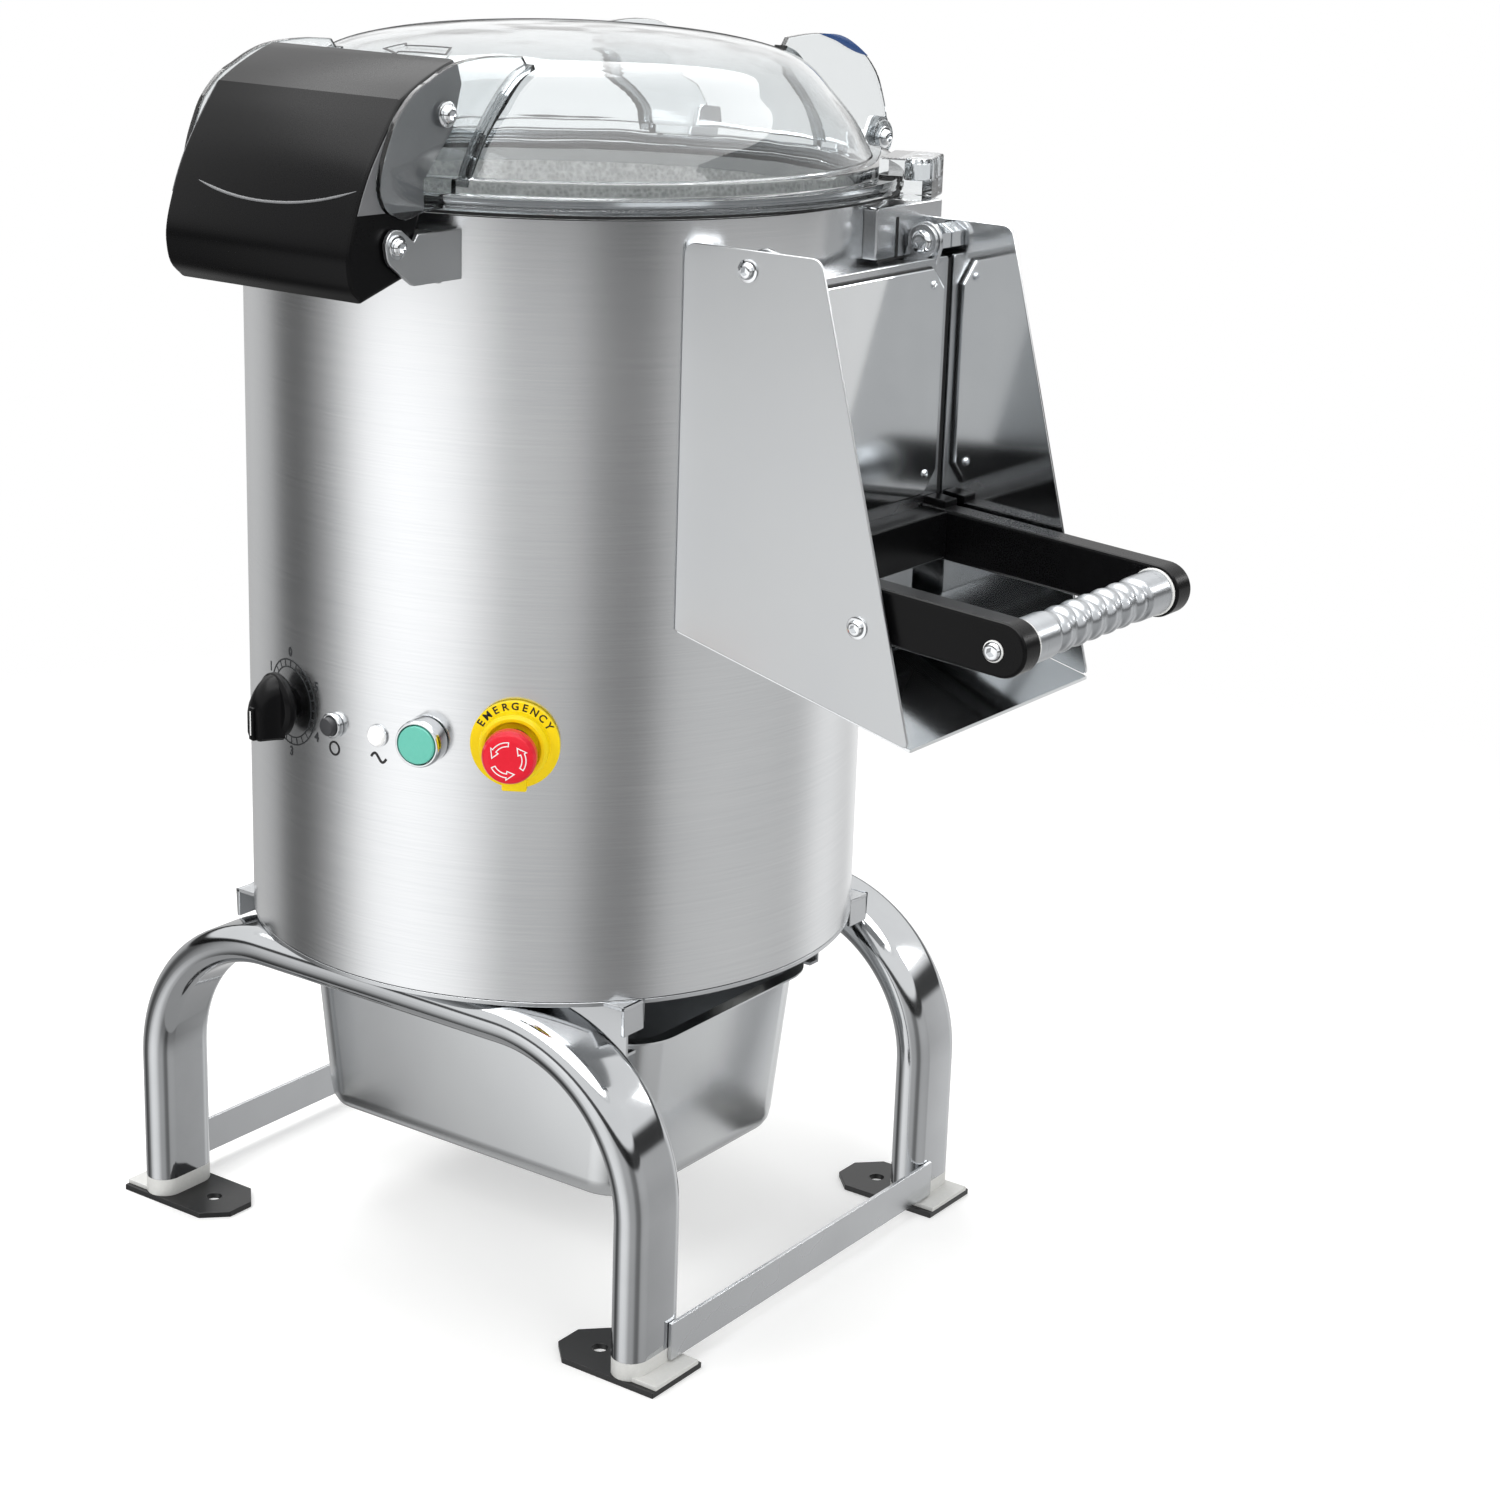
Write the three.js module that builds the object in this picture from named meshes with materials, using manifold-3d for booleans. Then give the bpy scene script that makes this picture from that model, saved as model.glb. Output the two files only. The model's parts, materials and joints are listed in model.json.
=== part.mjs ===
// Electric potato peeler: a steel drum on two bent-tube arches, with a clear lid, an outlet door and a tray.
// Millimetres, +Z up. The outlet is at +X and the controls are at -Y. Everything is placed from the floor
// under the drum's axis, and the last lines move the origin to the floor under the middle of the machine.
import * as THREE from 'three'
import { mergeVertices } from 'three/addons/utils/BufferGeometryUtils.js'
import Module from 'manifold-3d'

const wasm = await Module()
wasm.setup()

// General
const gap = 0.3 // between neighbours that touch
const overrun = 5 // how far a cutting shape runs past what it cuts

// Drum and its floors
const drumRadius = 200
const drumWall = 1.5
const drumBottom = 224 // above the floor
const drumHeight = 476
const drumTop = drumBottom + drumHeight
const basePlateThickness = 3
const chamberFloorUp = 222 // above the drum's bottom edge
const chamberFloorThickness = 3
const linerThickness = 3
const linerTopDrop = 10
const chamberFloorZ = drumBottom + chamberFloorUp
const chamberFloorTop = chamberFloorZ + chamberFloorThickness
const drumInside = drumRadius - drumWall

// Stand
const tubeThick = 25 // of the flat-oval tube, in the arch's plane
const tubeWide = 50 // of the flat-oval tube, along Y
const tubeWall = 1.5
const archYShare = 0.79 // of the drum's radius
const legOut = 2.5 // leg centre beyond the drum's radius
const archBend = 102.5 // centreline radius of the arch's corners
const tubeEndUp = 16.3 // leg's end above the floor
const floorPlateThickness = 4
const floorPlateInward = 59.5 // from the leg's centre towards the middle
const floorPlateOutward = 26.5
const floorPlateHalfWidth = 25
const floorPlateChamfer = 15
const floorHoleRadius = 5
const floorHoleInward = 34
const footPlugRise = 18
const barThickness = 2.7
const barBottom = 8.4
const barHeight = 25
const barEndShare = 0.95 // of the arch's Y
const lugFlange = 20
const lugThickness = 2.5
const lugDrop = 16.4
const lugInset = 38.2 // lug's corner inward of the leg's centre
const lugClear = 1.6 // lug's corner inward of the tube

// Tray and its rails
const trayTop = 180.3
const trayDepth = 118
const trayTopHalfWidth = 96
const trayTopLength = 292
const trayShift = -1 // the tray's middle, a little away from the outlet
const trayTaperX = 12
const trayTaperY = 4
const trayWall = 1.2
const trayLip = 8
const trayCorner = 30
const railThickness = 2
const railLip = 8
const railSideGap = 1

// Drive
const shaftRadius = 10
const shaftBottomUp = 14 // above the drum's bottom edge
const housingRadius = 28
const housingFlangeRadius = 45
const housingFlangeThickness = 7
const housingLength = 145
const bearingRadius = 22
const bearingHeight = 14
const bearingInset = 6
const sealRadius = 20
const sealHeight = 5
const discGap = 17 // under the disc's plate
const discThickness = 10
const discRimClear = 9 // between the disc's rim and the liner
const discRidgeHeight = 7 // above the disc's plate
const discRidgeRadius = 10
const discBossRadius = 28
const discBossDrop = 14
const motorRadius = 52
const motorLength = 134
const motorAngle = 30 // from +Y towards -X
const motorDistanceShare = 0.55 // of the drum's radius
const motorFlangeRadius = 40
const motorFlangeThickness = 12
const motorShaftRadius = 9
const mountThickness = 4
const mountHalf = 50
const postLength = 25
const postRadius = 6
const postInset = 9
const pulleyUp = 19 // above the drum's bottom edge
const pulleyHeight = 19
const pulleyRim = 4
const pulleyGrooveDepth = 4
const discPulleyRadius = 62
const motorPulleyRadius = 22
const beltThickness = 3

// Waste pipe, water inlet and cable gland
const pipeRadius = 18
const pipeWall = 2
const pipeXShare = 0.56 // of the drum's radius
const pipeYShare = 0.3
const pipeEndDrop = 26 // below the drum's bottom edge
const pipeFlangeRadius = 24
const pipeFlangeThickness = 4
const inletAngle = 215 // from -Y towards +X
const inletDrop = 60 // below the drum's top
const inletRadius = 9
const inletBore = 6
const inletReach = 32
const inletNutRadius = 15
const inletNutThickness = 6
const glandAngle = 150
const glandUp = 30
const glandRadius = 9
const glandNutRadius = 12
const glandReach = 20
const glandBore = 4

// Lid
const lidOverhang = 16
const gasketHeight = 4
const gasketInside = 193
const flangeThickness = 8.7
const lidStepInset = 10
const lidStepHeight = 7.8
const domeBaseInset = 7 // of the dome's foot from the drum's radius
const lidRise = 95 // the dome's top above the drum's
const lidWall = 4
const domeRadiusShares = [1, 0.945, 0.87, 0.76, 0.56, 0.26, 0]
const domeRiseShares = [0.219, 0.42, 0.6, 0.81, 0.925, 0.985, 1]
const wingHalfSpan = 76 // outer faces
const wingThickness = 4
const wingReach = 54 // beyond the drum's radius
const wingRise = 85.7 // above the drum's top
const wingShares = [
  [-1.44, 0.85],
  [-1.24, 0.998],
  [-0.315, 1],
  [0.24, 0.886],
  [0.61, 0.746],
  [0.85, 0.536],
  [1, 0.227],
  [0.61, 0.012],
  [0.28, 0.058],
  [-0.37, 0.058],
]
const lidTabAngle = 111 // from -Y towards +X
const lidTabReach = 38 // beyond the drum's radius
const lidTabHalfWidth = 22
const lidTabBottom = 2 // above the drum's top
const lidTabHeight = 25

// Lid hinge
const hingePinRadius = 4
const hingePinOut = 49 // beyond the drum's radius
const hingePinUp = 15 // above the drum's top
const hingeEyeRadius = 12
const pinHeadRadius = 7
const pinHeadThickness = 4
const pinShankOut = 2.5 // beyond the wings, into each head
const hingeEarThickness = 3
const hingeEarGap = 2 // inside the wings
const hingeEarReach = 64
const hingeEarDrop = 60
const hingeEarShares = [
  [-0.31, -1],
  [0.23, -1],
  [1, -0.06],
  [1, 0.46],
  [0.62, 0.5],
  [0.34, -0.06],
  [-0.31, -0.06],
]

// Lid handle and its catch
const handleHalfWidth = 71
const handleWall = 4
const handleReach = 75 // beyond the drum's radius
const handleRise = 86 // above the drum's top
const handlePivotIn = 0.5 // inward of the drum's radius
const handlePivotUp = 57
const handleOuterShares = [
  [-0.19, 1],
  [-0.07, 0.965],
  [0.41, 0.78],
  [0.57, 0.605],
  [0.75, 0.384],
  [0.853, 0.21],
  [0.933, 0.035],
  [1, -0.233],
  [0.96, -0.395],
  [0.84, -0.5],
]
const handleBackShares = [
  [0.37, -0.372],
  [0.19, 0.06],
  [0.19, 0.24],
  [-0.14, 0.55],
  [-0.24, 0.85],
]
const catchEarThickness = 3
const catchEarGap = 1.3 // beside the handle
const catchReach = 46
const catchTopDrop = 8
const catchHeight = 29
const catchBoltOut = 35.5
const catchBoltDrop = 6.75 // below the catch's top
const catchBoltRadius = 6.5
const catchBoltThickness = 3.7
const catchCorner = 8
const webThickness = 3

// Switch box beside the lid
const boxFront = 4 // beyond the drum's radius
const boxYStart = 48
const boxWidth = 74
const boxTopDrop = 3
const boxHeight = 32
const boxWall = 1.5

// Outlet: frame, seal, door and its handle
const leafOut = 22 // the door leaf's back beyond the drum's radius
const leafThickness = 3
const leafHalfWidth = 98
const frameSide = 15 // the frame's edge inward of the leaf's
const openingSide = 8 // the opening's edge inward of the frame's
const leafTopDrop = 34 // below the drum's top
const leafBottomUp = 32 // above the chamber's floor
const frameHalfWidth = leafHalfWidth - frameSide
const frameTopDrop = 38
const frameBackShare = 0.85 // of the drum's radius
const openingHalfWidth = frameHalfWidth - openingSide
const openingTopDrop = 51
const openingBottomUp = 41
const sealWidth = 5
const sealThickness = 1.7
const doorPivotOut = 16.5
const doorPivotDrop = 24.5
const doorEarRadius = 11.5
const doorEarThickness = 3
const doorRodRadius = 3
const doorRodHead = 6
const doorRodHeadThickness = 4
const doorRodShankOut = 1 // into each head
const panelThickness = 6.7
const panelSide = 6 // the panel's edge inward of the leaf's
const panelHalfWidth = leafHalfWidth - panelSide
const panelTopDrop = 40
const panelBottomUp = 71
const panelChamfer = 14
const crossbarDepth = 19.7
const crossbarHeight = 30
const armThickness = 18
const armHeight = 32
const armInner = leafHalfWidth - armThickness
const armRootUp = 48 // its centre above the chamber's floor
const gripOut = 192 // the grip's axis beyond the drum's radius
const gripUp = 36.5 // the grip's axis above the chamber's floor
const gripRadius = 13.75
const gripNeckRadius = 11
const gripRibs = 5

// Chute
const guardSideGap = 4 // beside the leaf
const guardFace = leafHalfWidth + guardSideGap // the guards' inner faces
const guardBackShare = 0.8 // of the drum's radius
const chuteBackShare = 0.9
const guardThickness = 2
const chuteReach = 139 // the lip beyond the drum's radius
const chuteLipDrop = 28 // below the chamber's floor
const chuteSlope = 0.242 // fall per length
const chuteThickness = 2
const guardTopDrop = 12
const guardTopReach = 66
const guardCorner = 8

// Controls: places on the drum
const controlsUp = 164 // above the drum's bottom edge
const timerAngle = -16.4
const stopAngle = -3.6
const lampAngle = 6.3
const startAngle = 15.9
const estopAngle = 31.9
const stopUpShift = -4
const lampUpShift = -4
const startUpShift = -1
const estopUpShift = 2

// Controls: sizes, measured outwards from the drum's face
const panelSeat = 1.5 // how far the flat backs stand off the curved drum
const knobRadius = 22
const knobDepth = 22.5
const knobSkirtDepth = 7
const knobGripHalf = 6
const spindleRadius = 3
const spindleLength = 15
const timerBushRadius = 6
const timerBodyHalf = 22
const timerBodyBack = 46
const timerBodyFront = 7
const lampRadius = 6.25
const lampRise = 4.5
const lampBodyRadius = 5.2
const lampBodyBack = 34
const stopRingRadius = 7.2
const stopRingRise = 4
const stopCapRadius = 5
const stopCapRise = 8
const stopBodyRadius = 6.4
const stopBodyBack = 36
const stopTravel = 2.5
const startBezelRadius = 14.7
const startBezelRise = 13.5
const startCapRadius = 11.3
const startCapRise = 14.5
const startCapDepth = 9
const startTravel = 3
const startStemRadius = 4
const threadRadius = 10.8
const blockHalfWidth = 14
const blockHalfHeight = 20
const blockFront = 12
const blockBack = 50
const estopPlateRadius = 27
const estopPlateRise = 3
const estopCollarRadius = 18
const estopCollarRise = 13
const estopCapRadius = 16.25
const estopCapBottom = 19
const estopCapRise = 35
const estopCapBase = 13 // radius under the cap
const estopCapEdge = 5 // rounding of the cap's top edge
const estopStemRadius = 6
const estopSocketDepth = 8
const estopTravel = 4

// How finely round shapes are cut
const drumSides = 64
const roundSides = 24
const smallSides = 12
const tubeSteps = 30
const tubeArcSteps = 4
const cornerSteps = 4
const ribSteps = 4

// Finishes
const finish = (color, roughness, metalness) =>
  new THREE.MeshStandardMaterial({ color, roughness, metalness })
const brushedSteel = finish('#b9bbbd', 0.35, 1)
const polishedSteel = finish('#cfd1d3', 0.12, 1)
const plainSteel = finish('#a5a7a9', 0.4, 1)
const castAlloy = finish('#b4b5b3', 0.5, 1)
const blackPlastic = finish('#161718', 0.45, 0)
const blackRubber = finish('#111212', 0.8, 0)
const clearPlastic = finish('#eef2f2', 0.08, 0)
const abrasive = finish('#4a4845', 0.95, 0)
const greyPlastic = finish('#d6d6d3', 0.5, 0)
const greenPlastic = finish('#4fbb97', 0.4, 0)
const whitePlastic = finish('#f4f4f0', 0.3, 0)
const yellowPlastic = finish('#f2d311', 0.4, 0)
const redPlastic = finish('#e3152b', 0.35, 0)
const motorPaint = finish('#3c4650', 0.5, 0.3)

// A closed mesh as a solid, with shared corners merged and flat slivers left out
function toSolid(geometry) {
  const bare = geometry.clone()
  bare.deleteAttribute('normal')
  bare.deleteAttribute('uv')
  const merged = mergeVertices(bare)
  const corners = merged.index.array
  const kept = []
  for (let i = 0; i < corners.length; i += 3) {
    const [a, b, c] = [corners[i], corners[i + 1], corners[i + 2]]
    if (a !== b && b !== c && c !== a) kept.push(a, b, c)
  }
  const vertProperties = Float32Array.from(merged.attributes.position.array)
  return new wasm.Manifold(new wasm.Mesh({ numProp: 3, vertProperties, triVerts: Uint32Array.from(kept) }))
}

function toGeometry(solid) {
  const { vertProperties, triVerts } = solid.getMesh()
  const geometry = new THREE.BufferGeometry()
  geometry.setAttribute('position', new THREE.BufferAttribute(Float32Array.from(vertProperties), 3))
  geometry.setIndex(new THREE.BufferAttribute(Uint32Array.from(triVerts), 1))
  geometry.computeVertexNormals()
  return geometry
}

const join = (first, ...others) =>
  toGeometry(others.reduce((sum, one) => sum.add(toSolid(one)), toSolid(first)))
const cut = (first, ...others) =>
  toGeometry(others.reduce((rest, one) => rest.subtract(toSolid(one)), toSolid(first)))

// A block between two corners
function block([x0, x1], [y0, y1], [z0, z1]) {
  const shape = new THREE.BoxGeometry(x1 - x0, y1 - y0, z1 - z0)
  return shape.translate((x0 + x1) / 2, (y0 + y1) / 2, (z0 + z1) / 2)
}

// A ring or disc turned about Z from [radius, height] points, up the outside and down the inside
function turned(profile, sides = drumSides) {
  const shape = new THREE.LatheGeometry(profile.map(([r, z]) => new THREE.Vector2(r, z)), sides)
  return shape.rotateX(Math.PI / 2)
}

// The corner radius of a many-sided hole that clears a round of this radius
const around = (radius, sides) => radius / Math.cos(Math.PI / sides)

function tubeRing(outer, inner, low, high, sides = drumSides) {
  const bore = around(inner, sides)
  return turned([[outer, low], [outer, high], [bore, high], [bore, low], [outer, low]], sides)
}
const disc = (radius, low, high, sides = roundSides) =>
  turned([[0, low], [radius, low], [radius, high], [0, high]], sides)
const hole = (radius, low, high, sides = smallSides) => disc(around(radius, sides), low, high, sides)

// A disc whose axis lies along X, or along Y
const discAlongX = (radius, from, to, y, z, sides = smallSides) =>
  disc(radius, from, to, sides).rotateY(Math.PI / 2).translate(0, y, z)
const discAlongY = (radius, from, to, x, z, sides = smallSides) =>
  disc(radius, -to, -from, sides).rotateX(Math.PI / 2).translate(x, 0, z)
const holeAlongX = (radius, from, to, y, z) => discAlongX(around(radius, smallSides), from, to, y, z)
const holeAlongY = (radius, from, to, x, z) => discAlongY(around(radius, smallSides), from, to, x, z)

const outline = (points) => new THREE.Shape(points.map(([x, y]) => new THREE.Vector2(x, y)))
const extruded = (shape, depth) =>
  new THREE.ExtrudeGeometry(shape, { depth, bevelEnabled: false, steps: 1 })

// A flat outline in Y and Z, given thickness along X
function plateAlongX(points, from, to) {
  const shape = extruded(outline(points), to - from)
  return shape.rotateX(Math.PI / 2).rotateZ(Math.PI / 2).translate(from, 0, 0)
}

// A flat outline in X and Z, given thickness along Y
function plateAlongY(points, from, to) {
  const shape = extruded(outline(points), to - from)
  return shape.rotateX(Math.PI / 2).translate(0, to, 0)
}

// A flat outline in X and Y, given height
function plateAlongZ(points, from, to) {
  const shape = extruded(outline(points), to - from)
  return shape.translate(0, 0, from)
}

// Points on an arc, from one angle to another, both in radians
function arc(x, y, radius, start, end, steps) {
  return Array.from({ length: steps + 1 }, (_, i) => {
    const angle = start + ((end - start) * i) / steps
    return [x + radius * Math.cos(angle), y + radius * Math.sin(angle)]
  })
}

// A rectangle with round corners, as points anticlockwise
function roundedRectangle(halfX, halfY, corner, steps = cornerSteps) {
  const quarter = Math.PI / 2
  return [
    ...arc(halfX - corner, halfY - corner, corner, 0, quarter, steps),
    ...arc(corner - halfX, halfY - corner, corner, quarter, 2 * quarter, steps),
    ...arc(corner - halfX, corner - halfY, corner, 2 * quarter, 3 * quarter, steps),
    ...arc(halfX - corner, corner - halfY, corner, 3 * quarter, 4 * quarter, steps),
  ]
}

// A closed skin through rings of equal counts, with a flat end at each side
function lofted(rings) {
  const count = rings[0].length
  const places = rings.flat(2)
  const faces = []
  for (let i = 0; i < rings.length - 1; i++) {
    for (let j = 0; j < count; j++) {
      const [a, b] = [i * count + j, i * count + ((j + 1) % count)]
      faces.push(a, b, b + count, a, b + count, a + count)
    }
  }
  const last = (rings.length - 1) * count
  for (let j = 1; j < count - 1; j++) faces.push(0, j + 1, j, last, last + j, last + j + 1)
  const geometry = new THREE.BufferGeometry()
  geometry.setAttribute('position', new THREE.Float32BufferAttribute(places, 3))
  geometry.setIndex(faces)
  geometry.computeVertexNormals()
  return geometry
}

// Shares of a reach beyond the drum's radius and of a rise above its top, as real places
const beside = (shares, reach, rise) =>
  shares.map(([out, up]) => [drumRadius + out * reach, drumTop + up * rise])
const mirrored = (points) => points.map(([y, z]) => [-y, z]).reverse()

// The same outline moved inwards by a wall, as an open run of points
function offsetRun(points, wall) {
  return points.map(([x, y], i) => {
    const [x0, y0] = points[Math.max(i - 1, 0)]
    const [x1, y1] = points[Math.min(i + 1, points.length - 1)]
    const length = Math.hypot(x1 - x0, y1 - y0)
    return [x + (wall * (y1 - y0)) / length, y - (wall * (x1 - x0)) / length]
  })
}

const machine = new THREE.Group()

function add(name, geometry, material, parent = machine) {
  const mesh = new THREE.Mesh(geometry, material)
  mesh.name = name
  parent.add(mesh)
}

// A group whose Z points out of the drum at an angle from -Y, and whose Y points up
function onDrum(angle, up) {
  const turn = THREE.MathUtils.degToRad(angle)
  const outward = new THREE.Vector3(Math.sin(turn), -Math.cos(turn), 0)
  const along = new THREE.Vector3(Math.cos(turn), Math.sin(turn), 0)
  const group = new THREE.Group()
  group.matrixAutoUpdate = false
  group.matrix.makeBasis(along, new THREE.Vector3(0, 0, 1), outward)
  group.matrix.setPosition(outward.clone().multiplyScalar(drumRadius).setZ(up))
  machine.add(group)
  return group
}

// A hole through the drum's wall, in the drum's own frame
function holeOnDrum(angle, up, radius) {
  const turn = THREE.MathUtils.degToRad(angle)
  const depth = linerThickness + drumWall + overrun
  const drill = hole(radius, drumRadius - depth, drumRadius + overrun).rotateX(Math.PI / 2)
  return drill.rotateZ(turn).translate(0, 0, up)
}

const controlsZ = drumBottom + controlsUp
const stopZ = controlsZ + stopUpShift
const lampZ = controlsZ + lampUpShift
const startZ = controlsZ + startUpShift
const estopZ = controlsZ + estopUpShift
const openingLow = chamberFloorZ + openingBottomUp
const openingHigh = drumTop - openingTopDrop
const inletZ = drumTop - inletDrop
const glandZ = drumBottom + glandUp
const pipeX = drumRadius * pipeXShare
const pipeY = drumRadius * pipeYShare

// The outlet's way through the drum and its liner
const outletWay = () =>
  block(
    [drumRadius / 2, drumRadius + leafOut + overrun],
    [-openingHalfWidth, openingHalfWidth],
    [openingLow, openingHigh],
  )

function makeDrum() {
  const wall = tubeRing(drumRadius, drumInside, drumBottom, drumTop)
  const holes = [
    holeOnDrum(timerAngle, controlsZ, timerBushRadius + gap),
    holeOnDrum(stopAngle, stopZ, stopBodyRadius + gap),
    holeOnDrum(lampAngle, lampZ, lampBodyRadius + gap),
    holeOnDrum(startAngle, startZ, threadRadius + gap),
    holeOnDrum(estopAngle, estopZ, threadRadius + gap),
    holeOnDrum(inletAngle, inletZ, inletRadius + gap),
    holeOnDrum(glandAngle, glandZ, glandRadius + gap),
  ]
  add('drum_shell', cut(wall, outletWay(), ...holes), brushedSteel)

  const plateRadius = drumInside - gap
  const pipeHole = hole(pipeRadius + gap, -overrun, chamberFloorThickness + overrun)
  const sealHole = hole(sealRadius + gap, -overrun, chamberFloorThickness + overrun, roundSides)
  const floor = cut(
    disc(plateRadius, 0, chamberFloorThickness, drumSides),
    pipeHole.translate(pipeX, pipeY, 0),
    sealHole,
  )
  add('chamber_floor', floor.translate(0, 0, chamberFloorZ), plainSteel)

  const linerHigh = drumTop - linerTopDrop
  const liner = tubeRing(plateRadius, plateRadius - linerThickness, chamberFloorTop + gap, linerHigh)
  const cuts = [outletWay(), holeOnDrum(inletAngle, inletZ, inletRadius + gap)]
  add('abrasive_liner', cut(liner, ...cuts), abrasive)
}

const archY = drumRadius * archYShare
const legX = drumRadius + legOut
const archCentreZ = drumBottom - basePlateThickness - 2 * gap - tubeThick / 2
const lugCornerX = legX - lugInset
const lugCornerY = archY - tubeWide / 2 + lugClear

function flatOval(inset) {
  const radius = tubeThick / 2 - inset
  const half = (tubeWide - tubeThick) / 2
  const quarter = Math.PI / 2
  return [
    ...arc(half, 0, radius, -quarter, quarter, tubeArcSteps),
    ...arc(-half, 0, radius, quarter, 3 * quarter, tubeArcSteps),
  ]
}

// The base plate, with an angle lug welded under each corner ear
function makeBasePlate() {
  const low = drumBottom - gap - basePlateThickness
  const high = drumBottom - gap
  let plate = disc(drumRadius, low, high, drumSides)
  for (const sideX of [-1, 1]) {
    for (const sideY of [-1, 1]) {
      const x = [sideX * (lugCornerX - lugFlange), sideX * lugCornerX].sort((a, b) => a - b)
      const y = [sideY * (lugCornerY - lugFlange), sideY * lugCornerY].sort((a, b) => a - b)
      const faceX = [sideX * (lugCornerX - lugThickness), sideX * lugCornerX].sort((a, b) => a - b)
      const faceY = [sideY * (lugCornerY - lugThickness), sideY * lugCornerY].sort((a, b) => a - b)
      plate = join(plate, block(x, y, [low, high]))
      const flange = [low - lugDrop, low + gap]
      plate = join(plate, block(faceX, y, flange), block(x, faceY, flange))
    }
  }
  const pipeHole = hole(pipeRadius + gap, low - overrun, high + overrun)
  add('base_plate', cut(plate, pipeHole.translate(pipeX, pipeY, 0)), plainSteel)
}

function makeArch(name, side) {
  const flat = legX - archBend
  const low = archCentreZ - archBend
  const at = (x, z) => new THREE.Vector3(x, side * archY, z)
  const corner = (sideX, start) => {
    const places = arc(sideX * flat, low, archBend, start, start - Math.PI / 2, 2 * tubeArcSteps)
    return new THREE.CatmullRomCurve3(places.map(([x, z]) => at(x, z)))
  }
  const route = new THREE.CurvePath()
  route.add(new THREE.LineCurve3(at(-legX, tubeEndUp), at(-legX, low)))
  route.add(corner(-1, Math.PI))
  route.add(new THREE.LineCurve3(at(-flat, archCentreZ), at(flat, archCentreZ)))
  route.add(corner(1, Math.PI / 2))
  route.add(new THREE.LineCurve3(at(legX, low), at(legX, tubeEndUp)))
  const section = outline(flatOval(0))
  section.holes.push(new THREE.Path(flatOval(tubeWall).map(([x, y]) => new THREE.Vector2(x, y)).reverse()))
  const run = { steps: tubeSteps, extrudePath: route, bevelEnabled: false }
  const tube = new THREE.ExtrudeGeometry(section, run)
  add(name, tube, polishedSteel)
}

// A floor plate with a bolt hole, a flush collar and a plug that fills the leg's end
function makeFoot(name, sideX, sideY) {
  const plate = [
    [legX + floorPlateOutward, -floorPlateHalfWidth],
    [legX + floorPlateOutward, floorPlateHalfWidth],
    [legX - floorPlateInward + floorPlateChamfer, floorPlateHalfWidth],
    [legX - floorPlateInward, floorPlateHalfWidth - floorPlateChamfer],
    [legX - floorPlateInward, floorPlateChamfer - floorPlateHalfWidth],
    [legX - floorPlateInward + floorPlateChamfer, -floorPlateHalfWidth],
  ]
  const drill = hole(floorHoleRadius, -overrun, floorPlateThickness + overrun)
  const oval = (inset) => flatOval(inset).map(([across, along]) => [legX + along, across])
  const collar = plateAlongZ(oval(0).reverse(), floorPlateThickness / 2, tubeEndUp - gap)
  const plug = plateAlongZ(oval(tubeWall + gap).reverse(), floorPlateThickness / 2, tubeEndUp + footPlugRise)
  const foot = join(plateAlongZ(plate, 0, floorPlateThickness), collar, plug)
  const drilled = cut(foot, drill.translate(legX - floorHoleInward, 0, 0))
  if (sideX < 0) drilled.rotateZ(Math.PI)
  add(name, drilled.translate(0, sideY * archY, 0), greyPlastic)
}

function makeStand() {
  makeArch('stand_arch_front', -1)
  makeArch('stand_arch_rear', 1)
  for (const [sideX, xName] of [[-1, 'left'], [1, 'right']]) {
    const inner = legX + tubeThick / 2 + gap
    const faces = [sideX * inner, sideX * (inner + barThickness)].sort((a, b) => a - b)
    const reach = archY * barEndShare
    add(`side_bar_${xName}`, block(faces, [-reach, reach], [barBottom, barBottom + barHeight]), plainSteel)
    makeFoot(`foot_front_${xName}`, sideX, -1)
    makeFoot(`foot_rear_${xName}`, sideX, 1)
  }
}

// A tapered pan with round corners and a turned-out lip, one skin from the outside round to the inside
function makeTray() {
  const ring = (halfX, halfY, corner, z) =>
    roundedRectangle(halfX, halfY, corner).map(([x, y]) => [x + trayShift, y, z])
  const halfX = trayTopLength / 2
  const halfY = trayTopHalfWidth
  const low = trayTop - trayDepth
  const rings = [
    ring(halfX - trayTaperX - trayWall, halfY - trayTaperY - trayWall, trayCorner, low),
    ring(halfX - trayTaperX, halfY - trayTaperY, trayCorner, low + trayWall),
    ring(halfX, halfY, trayCorner, trayTop - trayWall),
    ring(halfX + trayLip, halfY + trayLip, trayCorner + trayLip, trayTop - trayWall),
    ring(halfX + trayLip, halfY + trayLip, trayCorner + trayLip, trayTop),
    ring(halfX - trayWall, halfY - trayWall, trayCorner - trayWall, trayTop),
    ring(halfX - trayTaperX - trayWall, halfY - trayTaperY - trayWall, trayCorner - trayWall, low + trayWall),
  ]
  add('catch_tray', lofted(rings), plainSteel)

  const lipTop = trayTop - trayWall - gap
  const outer = halfY + trayLip + railSideGap
  const ends = [trayShift - halfX, trayShift + halfX]
  for (const [side, name] of [[-1, 'front'], [1, 'rear']]) {
    const wallFaces = [side * outer, side * (outer + railThickness)].sort((a, b) => a - b)
    const lipFaces = [side * (outer - railLip), side * (outer + railThickness)].sort((a, b) => a - b)
    const wall = block(ends, wallFaces, [lipTop - railThickness, drumBottom - 2 * gap - basePlateThickness])
    add(`tray_rail_${name}`, join(wall, block(ends, lipFaces, [lipTop - railThickness, lipTop])), plainSteel)
  }
}

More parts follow.
